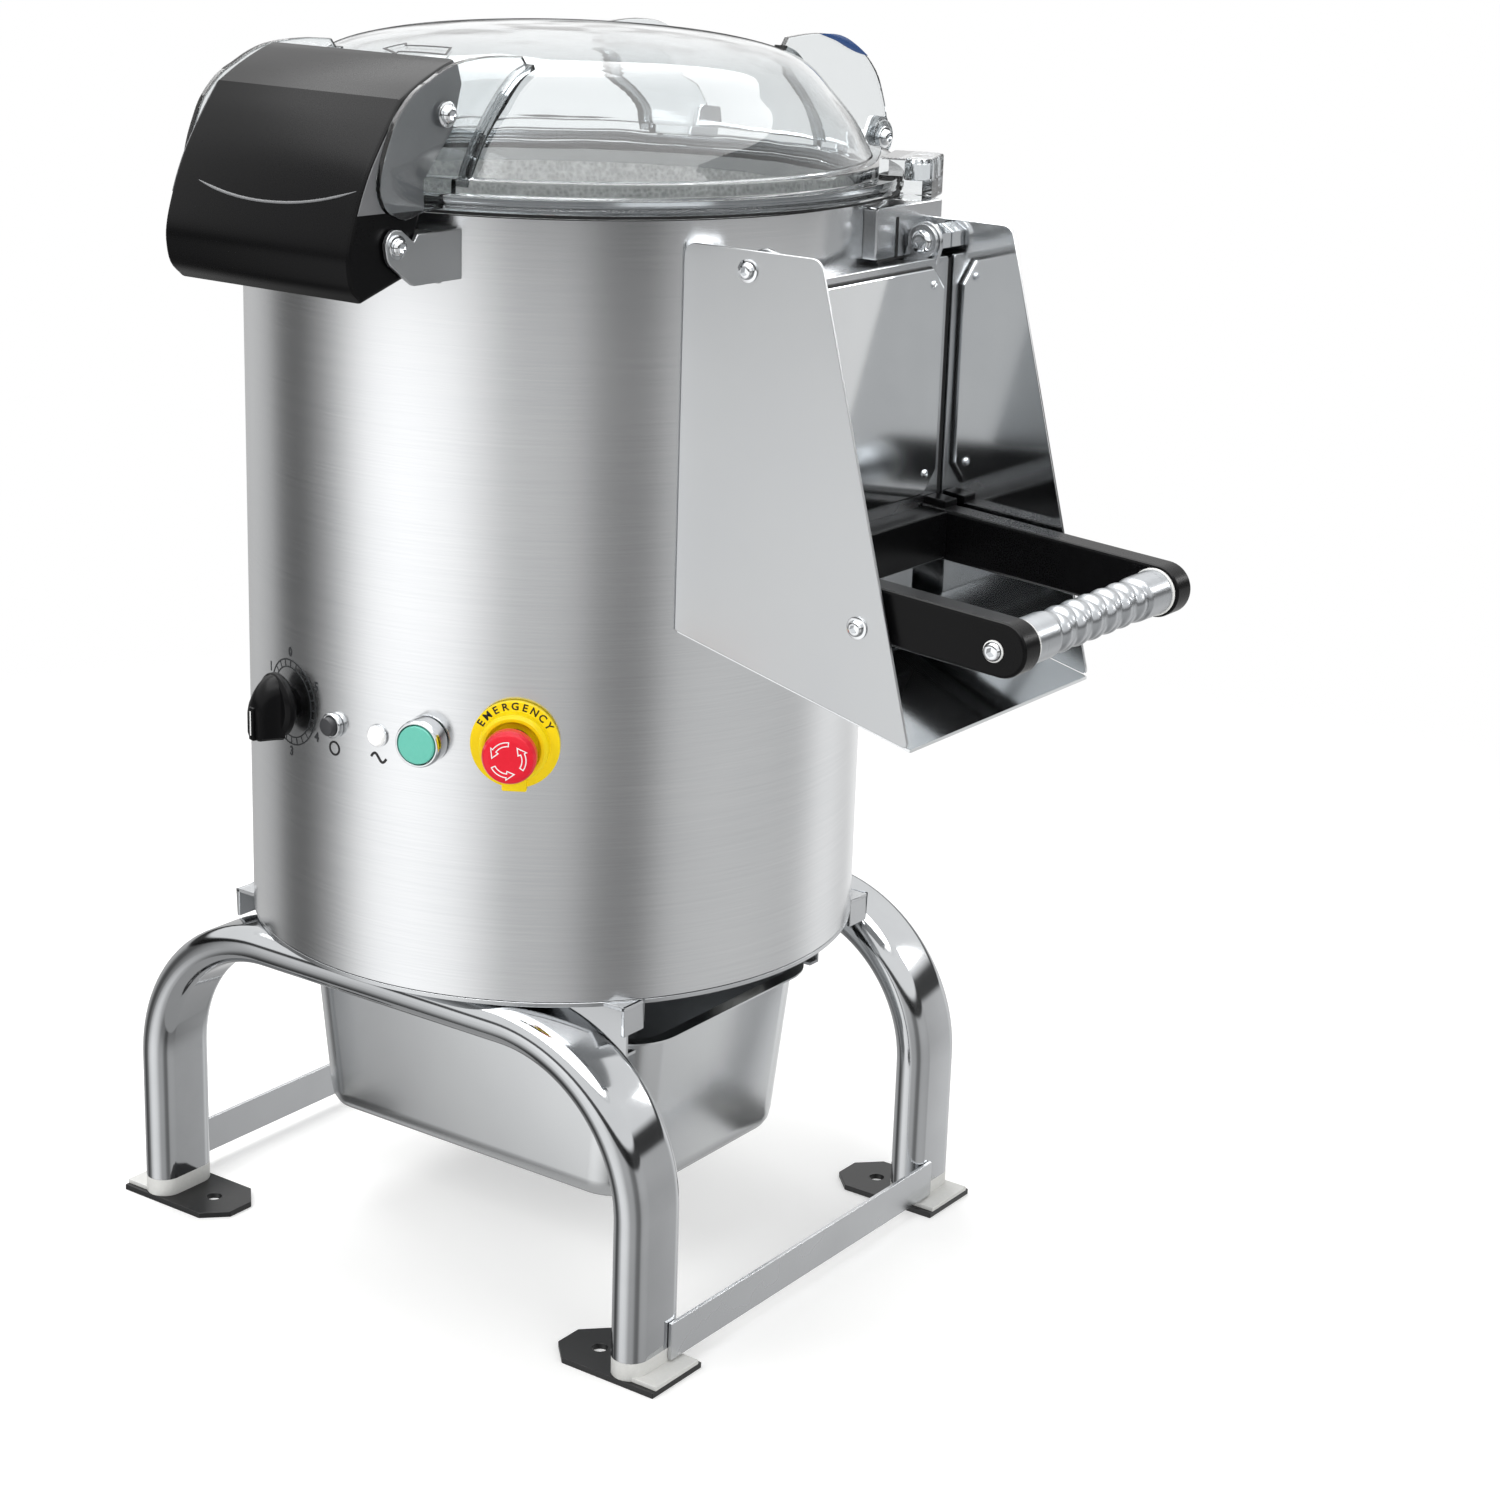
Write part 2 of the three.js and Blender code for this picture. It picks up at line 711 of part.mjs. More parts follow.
const shaftLow = drumBottom + shaftBottomUp
const discLow = chamberFloorTop + discGap
const housingHigh = chamberFloorZ - gap
const housingLow = housingHigh - housingLength
const discRadius = drumInside - gap - linerThickness - discRimClear
const pulleyLow = drumBottom + pulleyUp
const pulleyHigh = pulleyLow + pulleyHeight
const motorDistance = drumRadius * motorDistanceShare
const mountLow = chamberFloorZ - gap - postLength - mountThickness
const motorHigh = mountLow - gap

function grooved(radius, boreRadius) {
  const floor = radius - pulleyGrooveDepth
  const bore = around(boreRadius, roundSides)
  return turned(
    [
      [radius, pulleyLow],
      [radius, pulleyLow + pulleyRim],
      [floor, pulleyLow + pulleyRim],
      [floor, pulleyHigh - pulleyRim],
      [radius, pulleyHigh - pulleyRim],
      [radius, pulleyHigh],
      [bore, pulleyHigh],
      [bore, pulleyLow],
      [radius, pulleyLow],
    ],
    roundSides,
  )
}

// The belt's run round two wheels: each wheel's arc, joined by straight tangents
function beltRun(big, small, distance) {
  const lean = Math.acos((big - small) / distance)
  return [
    ...arc(0, 0, big, lean, 2 * Math.PI - lean, roundSides),
    ...arc(distance, 0, small, -lean, lean, smallSides),
  ]
}

function makeDrive() {
  const plate = disc(discRadius, discLow, discLow + discThickness, drumSides)
  const boss = disc(discBossRadius, discLow - discBossDrop, discLow + gap, roundSides)
  const ridges = [0, 1, 2].map((turn) => {
    const ridge = disc(discRidgeRadius, discBossRadius, discRadius - discRidgeHeight, smallSides)
    const raised = discLow + discThickness + discRidgeHeight - discRidgeRadius
    return ridge.rotateY(Math.PI / 2).rotateZ((turn * 2 * Math.PI) / 3).translate(0, 0, raised)
  })
  const socket = hole(shaftRadius + gap, discLow - discBossDrop - overrun, discLow + gap)
  const trimmed = block(
    [-discRadius, discRadius],
    [-discRadius, discRadius],
    [discLow - discBossDrop - overrun, discLow],
  )
  const ridged = ridges.map((ridge) => cut(ridge, trimmed))
  add('abrasive_disc', cut(join(plate, boss, ...ridged), socket), abrasive)
  add('drive_shaft', disc(shaftRadius, shaftLow, discLow, smallSides), polishedSteel)

  const bore = around(bearingRadius + gap, roundSides)
  const housing = turned(
    [
      [housingRadius, housingLow],
      [housingRadius, housingHigh - housingFlangeThickness],
      [housingFlangeRadius, housingHigh - housingFlangeThickness],
      [housingFlangeRadius, housingHigh],
      [bore, housingHigh],
      [bore, housingLow],
      [housingRadius, housingLow],
    ],
    roundSides,
  )
  add('bearing_housing', housing, castAlloy)
  const bearing = (low) => tubeRing(bearingRadius, shaftRadius + gap, low, low + bearingHeight, roundSides)
  add('upper_bearing', bearing(housingHigh - bearingInset - bearingHeight), polishedSteel)
  add('lower_bearing', bearing(housingLow + bearingInset), polishedSteel)
  const sealLow = chamberFloorTop - sealHeight + gap
  const seal = tubeRing(sealRadius, shaftRadius + gap, sealLow, sealLow + sealHeight, roundSides)
  add('shaft_seal', seal, blackRubber)
  add('disc_pulley', grooved(discPulleyRadius, shaftRadius + gap), castAlloy)
}

function makeMotor() {
  const side = new THREE.Group()
  side.rotation.z = THREE.MathUtils.degToRad(90 + motorAngle)
  machine.add(side)
  const low = motorHigh - motorFlangeThickness - motorLength
  const body = disc(motorRadius, low, motorHigh - motorFlangeThickness, roundSides)
  const flange = disc(motorFlangeRadius, motorHigh - motorFlangeThickness - gap, motorHigh, roundSides)
  const shaftBore = hole(motorShaftRadius + gap, low - overrun, low + motorFlangeThickness)
  const motor = cut(join(body, flange), shaftBore)
  add('motor', motor.translate(motorDistance, 0, 0), motorPaint, side)

  const shaft = disc(motorShaftRadius, shaftLow, low + motorFlangeThickness - gap, smallSides)
  const pulley = grooved(motorPulleyRadius, motorShaftRadius / 2)
  add('motor_pulley', join(pulley, shaft).translate(motorDistance, 0, 0), castAlloy, side)

  const half = [-mountHalf, mountHalf]
  let mount = block(half, half, [mountLow, mountLow + mountThickness])
  for (const x of [-1, 1]) {
    for (const y of [-1, 1]) {
      const post = disc(postRadius, mountLow + mountThickness - gap, chamberFloorZ - gap, smallSides)
      mount = join(mount, post.translate(x * (mountHalf - postInset), y * (mountHalf - postInset), 0))
    }
  }
  add('motor_mount', mount.translate(motorDistance, 0, 0), plainSteel, side)

  const inner = gap - pulleyGrooveDepth
  const outer = inner + beltThickness
  const loop = outline(beltRun(discPulleyRadius + outer, motorPulleyRadius + outer, motorDistance))
  const hollow = beltRun(discPulleyRadius + inner, motorPulleyRadius + inner, motorDistance)
  loop.holes.push(new THREE.Path(hollow.map(([x, y]) => new THREE.Vector2(x, y)).reverse()))
  const height = pulleyHeight - 2 * (pulleyRim + gap)
  const belt = new THREE.ExtrudeGeometry(loop, { depth: height, bevelEnabled: false, steps: 1 })
  add('drive_belt', belt.translate(0, 0, pulleyLow + pulleyRim + gap), blackRubber, side)
}

function makePipes() {
  const high = chamberFloorTop
  const inner = pipeRadius - pipeWall
  const pipe = turned(
    [
      [pipeRadius, drumBottom - pipeEndDrop],
      [pipeRadius, chamberFloorZ - gap - pipeFlangeThickness],
      [pipeFlangeRadius, chamberFloorZ - gap - pipeFlangeThickness],
      [pipeFlangeRadius, chamberFloorZ - gap],
      [pipeRadius, chamberFloorZ - gap],
      [pipeRadius, high],
      [inner, high],
      [inner, drumBottom - pipeEndDrop],
      [pipeRadius, drumBottom - pipeEndDrop],
    ],
    smallSides,
  )
  add('waste_pipe', pipe.translate(pipeX, pipeY, 0), greyPlastic)

  const back = -drumWall - linerThickness - gap
  const inlet = turned(
    [
      [inletRadius, back],
      [inletRadius, panelSeat],
      [inletNutRadius, panelSeat],
      [inletNutRadius, panelSeat + inletNutThickness],
      [inletRadius, panelSeat + inletNutThickness],
      [inletRadius, inletReach],
      [inletBore, inletReach],
      [inletBore, back],
      [inletRadius, back],
    ],
    smallSides,
  )
  add('water_inlet', inlet, polishedSteel, onDrum(inletAngle, inletZ))

  const gland = turned(
    [
      [glandRadius, -glandReach / 2],
      [glandRadius, panelSeat],
      [glandNutRadius, panelSeat],
      [glandNutRadius, glandReach / 2],
      [glandRadius, glandReach],
      [glandBore, glandReach],
      [glandBore, -glandReach / 2],
      [glandRadius, -glandReach / 2],
    ],
    smallSides,
  )
  add('cable_gland', gland, blackPlastic, onDrum(glandAngle, glandZ))
}

const hingeY = drumRadius + hingePinOut
const hingeZ = drumTop + hingePinUp
const pivotY = handlePivotIn - drumRadius
const pivotZ = drumTop + handlePivotUp

// Pin with a head at each end, lying along X
function headedPin(radius, y, z) {
  const shank = discAlongX(radius, -wingHalfSpan - pinShankOut, wingHalfSpan + pinShankOut, y, z)
  const near = wingHalfSpan + gap
  const far = near + pinHeadThickness
  const heads = [discAlongX(pinHeadRadius, near, far, y, z), discAlongX(pinHeadRadius, -far, -near, y, z)]
  return join(shank, ...heads)
}

function lidProfile(wall) {
  const foot = drumRadius - domeBaseInset - wall
  const rise = lidRise - wall
  return domeRadiusShares.map((share, i) => [share * foot, drumTop + domeRiseShares[i] * rise])
}

function makeLid() {
  const low = drumTop + gasketHeight + gap
  const rim = drumRadius + lidOverhang
  const step = rim - lidStepInset
  const outer = turned([
    [0, low],
    [rim, low],
    [rim, low + flangeThickness],
    [step, low + flangeThickness],
    [step, low + flangeThickness + lidStepHeight],
    ...lidProfile(0),
  ])
  const inside = lidProfile(lidWall)
  const inner = turned([[0, low - overrun], [inside[0][0], low - overrun], ...inside])
  const pieces = []
  const holes = []
  for (const side of [-1, 1]) {
    const faces = [side * (wingHalfSpan - wingThickness), side * wingHalfSpan].sort((a, b) => a - b)
    const rear = beside(wingShares, wingReach, wingRise).reverse()
    pieces.push(plateAlongX(rear, ...faces), plateAlongX(mirrored(rear), ...faces))
    pieces.push(discAlongX(hingeEyeRadius, ...faces, hingeY, hingeZ))
    const reach = [faces[0] - overrun, faces[1] + overrun]
    holes.push(holeAlongX(hingePinRadius + gap, ...reach, hingeY, hingeZ))
    holes.push(holeAlongX(hingePinRadius + gap, ...reach, pivotY, pivotZ))
  }
  const tabTurn = THREE.MathUtils.degToRad(lidTabAngle - 90)
  const tabLow = drumTop + lidTabBottom
  const tabReach = drumRadius + lidTabReach
  const tabWide = [-lidTabHalfWidth, lidTabHalfWidth]
  const tabStart = drumRadius + lidOverhang / 2
  const tab = block([tabStart, tabReach], tabWide, [tabLow, tabLow + lidTabHeight])
  pieces.push(tab.rotateZ(tabTurn))
  add('lid_cover', cut(join(outer, ...pieces), inner, ...holes), clearPlastic)

  const gasket = tubeRing(drumRadius + gap, gasketInside, drumTop + gap, drumTop + gasketHeight)
  add('lid_gasket', gasket, blackRubber)
}

function makeLidHinge() {
  const inner = wingHalfSpan - wingThickness - hingeEarGap - hingeEarThickness
  const round = disc(drumRadius + gap, drumBottom, drumTop + hingeEarDrop, drumSides)
  const ears = [-1, 1].map((side) => {
    const faces = [side * inner, side * (inner + hingeEarThickness)].sort((a, b) => a - b)
    return plateAlongX(beside(hingeEarShares, hingeEarReach, hingeEarDrop), ...faces)
  })
  const webFaces = [drumRadius + gap, drumRadius + gap + webThickness]
  const web = block([-inner - gap, inner + gap], webFaces, [drumTop - hingeEarDrop, drumTop - overrun])
  const pinHole = holeAlongX(hingePinRadius + gap, -wingHalfSpan, wingHalfSpan, hingeY, hingeZ)
  add('lid_hinge_bracket', cut(join(web, ...ears), round, pinHole), brushedSteel)
  add('lid_hinge_pin', headedPin(hingePinRadius, hingeY, hingeZ), polishedSteel)
}

function makeHandle() {
  add('handle_pivot_pin', headedPin(hingePinRadius, pivotY, pivotZ), polishedSteel)

  const front = beside(handleOuterShares, handleReach, handleRise)
  const back = beside(handleBackShares, handleReach, handleRise)
  const skin = offsetRun(front, handleWall)
  const below = Math.min(...front.map(([, z]) => z)) - overrun
  const skirt = mirrored([...front, ...back].reverse()).reverse()
  const outer = plateAlongX(skirt, -handleHalfWidth, handleHalfWidth)
  const behind = drumRadius - handleReach
  const hollowRun = [...skin, [skin[skin.length - 1][0], below], [behind, below], [behind, skin[0][1]]]
  const inside = handleHalfWidth - handleWall
  const hollow = plateAlongX(mirrored(hollowRun.reverse()).reverse(), -inside, inside)
  const pinHole = holeAlongX(hingePinRadius + gap, -wingHalfSpan, wingHalfSpan, pivotY, pivotZ)
  add('lid_handle', cut(outer, hollow, pinHole), blackPlastic)

  const near = handleHalfWidth + catchEarGap
  const far = near + catchEarThickness
  const high = drumTop - catchTopDrop
  const low = high - catchHeight
  const reach = drumRadius + catchReach
  const boltZ = high - catchBoltDrop
  const earOutline = [
    [drumRadius - 2 * catchCorner, low],
    [reach - catchCorner, low],
    [reach, low + catchCorner],
    [reach, high - catchCorner],
    [reach - catchCorner, high],
    [drumRadius - 2 * catchCorner, high],
  ]
  const pieces = []
  for (const side of [-1, 1]) {
    const faces = [side * near, side * far].sort((a, b) => a - b)
    const bolt = [side * (far - gap), side * (far + catchBoltThickness)].sort((a, b) => a - b)
    pieces.push(plateAlongX(mirrored(earOutline).reverse(), ...faces))
    pieces.push(discAlongX(catchBoltRadius, ...bolt, -drumRadius - catchBoltOut, boltZ))
  }
  const webFaces = [-drumRadius - gap - webThickness, -drumRadius - gap]
  const web = block([-near - gap, near + gap], webFaces, [low, high])
  const round = disc(drumRadius + gap, drumBottom, drumTop + overrun, drumSides)
  add('catch_bracket', cut(join(web, ...pieces), round), brushedSteel)
}

function makeSwitchBox() {
  const high = drumTop - boxTopDrop
  const low = high - boxHeight
  const front = drumRadius + boxFront
  const deep = front - boxWidth
  const outer = block([deep, front], [boxYStart, boxYStart + boxWidth], [low, high])
  const inner = block(
    [deep - overrun, front - boxWall],
    [boxYStart + boxWall, boxYStart + boxWidth - boxWall],
    [low + boxWall, high - boxWall],
  )
  const round = disc(drumRadius + gap, low - overrun, high + overrun, drumSides)
  add('switch_box', cut(outer, inner, round), brushedSteel)
}

const leafBack = drumRadius + leafOut
const leafFront = leafBack + leafThickness
const doorPivotX = drumRadius + doorPivotOut
const doorPivotZ = drumTop - doorPivotDrop
const chuteTopAt = (x) => chamberFloorZ - chuteLipDrop + (drumRadius + chuteReach - x) * chuteSlope
const frameFront = leafBack - sealThickness - 2 * gap

function makeDoorFrame() {
  const back = drumRadius * frameBackShare
  const high = drumTop - frameTopDrop
  const outer = plateAlongY(
    [
      [back, chuteTopAt(back) + gap],
      [frameFront, chuteTopAt(frameFront) + gap],
      [frameFront, high],
      [back, high],
    ],
    -frameHalfWidth,
    frameHalfWidth,
  )
  const eyes = [-1, 1].map((side) => {
    const faces = [side * (frameHalfWidth - doorEarThickness), side * frameHalfWidth].sort((a, b) => a - b)
    const left = doorPivotX - doorEarRadius
    const eye = block([left, frameFront], faces, [high - gap, doorPivotZ])
    return join(eye, discAlongY(frameFront - doorPivotX, ...faces, doorPivotX, doorPivotZ))
  })
  const round = disc(drumRadius + gap, drumBottom, drumTop + overrun, drumSides)
  const reach = [-frameHalfWidth - overrun, frameHalfWidth + overrun]
  const rodHole = holeAlongY(doorRodRadius + gap, ...reach, doorPivotX, doorPivotZ)
  add('door_frame', cut(join(outer, ...eyes), outletWay(), round, rodHole), brushedSteel)

  const sealX = [leafBack - sealThickness - gap, leafBack - gap]
  const seal = cut(
    block(
      sealX,
      [-openingHalfWidth - sealWidth, openingHalfWidth + sealWidth],
      [openingLow - sealWidth, openingHigh + sealWidth],
    ),
    outletWay(),
  )
  add('door_seal', seal, blackRubber)

  const earOuter = frameHalfWidth + 2 * gap + doorEarThickness
  const shankEnd = earOuter + gap + doorRodShankOut
  const shank = discAlongY(doorRodRadius, -shankEnd, shankEnd, doorPivotX, doorPivotZ)
  const heads = [-1, 1].map((side) => {
    const headEnds = [earOuter + gap, earOuter + gap + doorRodHeadThickness]
    const faces = headEnds.map((y) => side * y).sort((a, b) => a - b)
    return discAlongY(doorRodHead, ...faces, doorPivotX, doorPivotZ)
  })
  add('door_hinge_rod', join(shank, ...heads), polishedSteel)
}

function makeDoor() {
  const high = drumTop - leafTopDrop
  const low = chamberFloorTop + leafBottomUp
  const leaf = block([leafBack, leafFront], [-leafHalfWidth, leafHalfWidth], [low, high])
  const ears = [-1, 1].map((side) => {
    const inner = frameHalfWidth + 2 * gap
    const faces = [side * inner, side * (inner + doorEarThickness)].sort((a, b) => a - b)
    const wide = block(
      [doorPivotX - doorEarRadius, leafFront],
      faces,
      [high - gap - doorEarThickness, doorPivotZ],
    )
    return join(wide, discAlongY(doorEarRadius, ...faces, doorPivotX, doorPivotZ))
  })
  const reach = [-leafHalfWidth, leafHalfWidth]
  const rodHole = holeAlongY(doorRodRadius + gap, ...reach, doorPivotX, doorPivotZ)
  add('door_leaf', cut(join(leaf, ...ears), rodHole), brushedSteel)

  const front = leafFront + gap
  const [panelLow, panelHigh] = [chamberFloorTop + panelBottomUp, drumTop - panelTopDrop]
  const chamfered = [
    [panelHalfWidth - panelChamfer, panelLow],
    [panelHalfWidth, panelLow + panelChamfer],
    [panelHalfWidth, panelHigh - panelChamfer],
    [panelHalfWidth - panelChamfer, panelHigh],
    [panelChamfer - panelHalfWidth, panelHigh],
    [-panelHalfWidth, panelHigh - panelChamfer],
    [-panelHalfWidth, panelLow + panelChamfer],
    [panelChamfer - panelHalfWidth, panelLow],
  ]
  add('door_panel', plateAlongX(chamfered, front, front + panelThickness), brushedSteel)

  const barWide = armInner - gap
  const barFaces = [front, front + crossbarDepth]
  add('door_crossbar', block(barFaces, [-barWide, barWide], [low + gap, low + crossbarHeight]), blackPlastic)

  const gripX = drumRadius + gripOut
  const gripZ = chamberFloorTop + gripUp
  const rootZ = chamberFloorTop + armRootUp
  const half = armHeight / 2
  const lean = Math.atan2(gripZ - rootZ, gripX - front)
  const quarter = Math.PI / 2
  const armOutline = [
    [front, rootZ - half],
    ...arc(gripX, gripZ, half, lean - quarter, lean + quarter, 3 * ribSteps),
    [front, rootZ + half],
  ]
  for (const [side, name] of [[-1, 'front'], [1, 'rear']]) {
    const faces = [side * armInner, side * (armInner + armThickness)].sort((a, b) => a - b)
    add(`door_arm_${name}`, plateAlongY(armOutline, ...faces), blackPlastic)
  }

  const gripHalf = armInner - gap
  const ribCount = gripRibs * ribSteps
  const bulge = Array.from({ length: ribCount + 1 }, (_, i) => {
    const swell = Math.abs(Math.sin((Math.PI * i) / ribSteps))
    const radius = gripNeckRadius + (gripRadius - gripNeckRadius) * Math.sqrt(swell)
    return [radius, (2 * gripHalf * i) / ribCount - gripHalf]
  })
  const grip = turned([[0, -gripHalf], ...bulge, [0, gripHalf]], smallSides)
  add('door_grip', grip.rotateX(Math.PI / 2).translate(gripX, 0, gripZ), plainSteel)
}

// Side guards and the sloping floor between them
function makeChute() {
  const tip = drumRadius + chuteReach
  const back = drumRadius * guardBackShare
  const high = drumTop - guardTopDrop
  const topX = drumRadius + guardTopReach
  const guard = [
    [back, chuteTopAt(back)],
    [tip, chuteTopAt(tip)],
    [topX, high - guardCorner],
    [topX - guardCorner, high],
    [back, high],
  ]
  const round = () => disc(drumRadius + gap, drumBottom, drumTop + overrun, drumSides)
  const faces = [guardFace, guardFace + guardThickness]
  add('guard_front', cut(plateAlongY(guard, -faces[1], -faces[0]), round()), polishedSteel)
  const boxLow = drumTop - boxTopDrop - boxHeight
  const notch = block([0, drumRadius + boxFront + gap], [0, 2 * guardFace], [boxLow - gap, drumTop])
  add('guard_rear', cut(plateAlongY(guard, ...faces), round(), notch), polishedSteel)

  const start = drumRadius * chuteBackShare
  const floor = [
    [start, chuteTopAt(start) - chuteThickness],
    [tip, chuteTopAt(tip) - chuteThickness],
    [tip, chuteTopAt(tip)],
    [start, chuteTopAt(start)],
  ]
  const wide = guardFace - gap
  add('chute_floor', cut(plateAlongY(floor, -wide, wide), round()), polishedSteel)
}

function makeTimer() {
  const group = onDrum(timerAngle, controlsZ)
  const skirt = turned(
    [
      [0, panelSeat],
      [knobRadius, panelSeat],
      [knobRadius, panelSeat + knobSkirtDepth],
      [knobRadius - knobSkirtDepth / 2, panelSeat + knobSkirtDepth + gap],
      [0, panelSeat + knobSkirtDepth + gap],
    ],
    roundSides,
  )
  const ridge = block(
    [-knobGripHalf, knobGripHalf],
    [-knobRadius + gap, knobRadius - gap],
    [panelSeat + knobSkirtDepth, panelSeat + knobDepth],
  )
  const spindle = disc(spindleRadius, -spindleLength, panelSeat + gap, smallSides)
  add('timer_knob', join(skirt, ridge, spindle), blackPlastic, group)

  const half = [-timerBodyHalf, timerBodyHalf]
  const body = block(half, half, [-timerBodyBack, -timerBodyFront])
  const bush = disc(timerBushRadius, -timerBodyFront - gap, 0, smallSides)
  const bore = hole(spindleRadius + gap, -spindleLength - gap, overrun)
  add('timer_switch', cut(join(body, bush), bore), greyPlastic, group)
}

function makeLamp() {
  const lens = turned(
    [
      [0, -lampBodyBack],
      [lampBodyRadius, -lampBodyBack],
      [lampBodyRadius, gap],
      [lampRadius, gap],
      [lampRadius, lampRise / 2],
      [lampRadius / 2, lampRise],
      [0, lampRise],
    ],
    smallSides,
  )
  add('power_lamp', lens, whitePlastic, onDrum(lampAngle, lampZ))
}

function makeStopButton() {
  const group = onDrum(stopAngle, stopZ)
  const floor = -stopCapRise
  const wellRadius = around(stopCapRadius + gap, smallSides)
  const body = turned(
    [
      [0, -stopBodyBack],
      [stopBodyRadius, -stopBodyBack],
      [stopBodyRadius, gap],
      [stopRingRadius, gap],
      [stopRingRadius, stopRingRise],
      [wellRadius, stopRingRise],
      [wellRadius, floor],
      [0, floor],
    ],
    smallSides,
  )
  add('stop_switch', body, polishedSteel, group)
  const cap = disc(stopCapRadius, floor + stopTravel + gap, stopCapRise, smallSides)
  add('stop_button', cap, blackPlastic, group)
}

function makeStartButton() {
  const group = onDrum(startAngle, startZ)
  const half = [-blockHalfWidth, blockHalfWidth]
  const body = block(half, [-blockHalfHeight, blockHalfHeight], [-blockBack, -blockFront])
  const thread = disc(threadRadius, -blockFront - gap, panelSeat, roundSides)
  const bezel = turned(
    [
      [0, panelSeat - gap],
      [startBezelRadius, panelSeat - gap],
      [startBezelRadius, startBezelRise / 2],
      [(startBezelRadius + startCapRadius) / 2, startBezelRise],
      [0, startBezelRise],
    ],
    roundSides,
  )
  const capBottom = startCapRise - startCapDepth
  const wellFloor = capBottom - startTravel - gap
  const well = hole(startCapRadius + gap, wellFloor, startBezelRise + overrun, roundSides)
  const stemEnd = -blockFront
  const bore = hole(startStemRadius + gap, stemEnd - startTravel - gap, wellFloor + gap)
  add('start_switch', cut(join(body, thread, bezel), well, bore), polishedSteel, group)
  const cap = disc(startCapRadius, capBottom, startCapRise, roundSides)
  const stem = disc(startStemRadius, stemEnd, capBottom + gap, smallSides)
  add('start_button', join(cap, stem), greenPlastic, group)
}

function makeEmergencyStop() {
  const group = onDrum(estopAngle, estopZ)
  const bore = around(threadRadius + gap, roundSides)
  const ring = turned(
    [
      [estopPlateRadius, panelSeat],
      [estopPlateRadius, panelSeat + estopPlateRise],
      [estopCollarRadius, panelSeat + estopPlateRise],
      [estopCollarRadius, estopCollarRise],
      [bore, estopCollarRise],
      [bore, panelSeat],
      [estopPlateRadius, panelSeat],
    ],
    roundSides,
  )
  add('estop_ring', ring, yellowPlastic, group)

  const half = [-blockHalfWidth, blockHalfWidth]
  const body = block(half, [-blockHalfHeight, blockHalfHeight], [-blockBack, -blockFront])
  const thread = disc(threadRadius, -blockFront - gap, estopCollarRise - gap, roundSides)
  const well = hole(estopStemRadius + gap, -blockFront - estopTravel - gap, estopCollarRise + overrun)
  add('estop_switch', cut(join(body, thread), well), blackPlastic, group)
  const stemTop = estopCapBottom + estopSocketDepth
  add('estop_plunger', disc(estopStemRadius, -blockFront, stemTop, smallSides), polishedSteel, group)

  const socket = hole(estopStemRadius + gap, estopCapBottom - overrun, stemTop + gap)
  const cap = turned(
    [
      [0, estopCapBottom],
      [estopCapBase, estopCapBottom],
      [estopCapRadius, (estopCapBottom + estopCapRise) / 2],
      [estopCapRadius, estopCapRise - estopCapEdge],
      [estopCapRadius - estopCapEdge, estopCapRise],
      [0, estopCapRise],
    ],
    roundSides,
  )
  add('estop_button', cut(cap, socket), redPlastic, group)
}

makeDrum()
makeBasePlate()
makeStand()
makeTray()
makeDrive()
makeMotor()
makePipes()
makeLid()
makeLidHinge()
makeHandle()
makeSwitchBox()
makeDoorFrame()
makeDoor()
makeChute()
makeTimer()
makeLamp()
makeStopButton()
makeStartButton()
makeEmergencyStop()

// The origin lies on the floor under the middle of the whole machine
const middle = new THREE.Box3().setFromObject(machine, true).getCenter(new THREE.Vector3())
machine.position.set(-middle.x, -middle.y, 0)
const part = new THREE.Group()
part.add(machine)

export default part
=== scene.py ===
import json
import math

import bmesh
import bpy
from mathutils import Matrix, Vector


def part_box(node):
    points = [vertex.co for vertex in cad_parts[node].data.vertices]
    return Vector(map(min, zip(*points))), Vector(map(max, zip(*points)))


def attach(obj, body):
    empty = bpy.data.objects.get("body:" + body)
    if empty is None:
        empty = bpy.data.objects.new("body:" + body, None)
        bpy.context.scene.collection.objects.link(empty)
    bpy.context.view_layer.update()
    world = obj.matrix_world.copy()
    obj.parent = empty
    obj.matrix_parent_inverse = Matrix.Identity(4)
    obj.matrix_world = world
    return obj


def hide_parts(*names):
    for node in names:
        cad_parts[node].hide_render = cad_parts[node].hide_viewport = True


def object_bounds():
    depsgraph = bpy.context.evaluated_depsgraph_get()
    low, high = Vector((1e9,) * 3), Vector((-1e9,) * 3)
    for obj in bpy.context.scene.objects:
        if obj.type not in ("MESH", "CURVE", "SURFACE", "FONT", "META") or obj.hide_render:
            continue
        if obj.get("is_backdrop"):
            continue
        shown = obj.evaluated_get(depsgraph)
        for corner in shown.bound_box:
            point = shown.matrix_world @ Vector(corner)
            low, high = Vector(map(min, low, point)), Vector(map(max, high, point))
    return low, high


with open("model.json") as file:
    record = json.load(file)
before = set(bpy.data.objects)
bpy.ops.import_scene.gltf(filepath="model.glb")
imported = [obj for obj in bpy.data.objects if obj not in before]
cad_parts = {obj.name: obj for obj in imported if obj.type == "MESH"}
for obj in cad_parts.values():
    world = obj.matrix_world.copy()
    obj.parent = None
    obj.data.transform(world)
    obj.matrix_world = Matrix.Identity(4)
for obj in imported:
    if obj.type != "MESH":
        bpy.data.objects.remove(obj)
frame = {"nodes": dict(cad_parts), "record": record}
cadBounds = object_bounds()

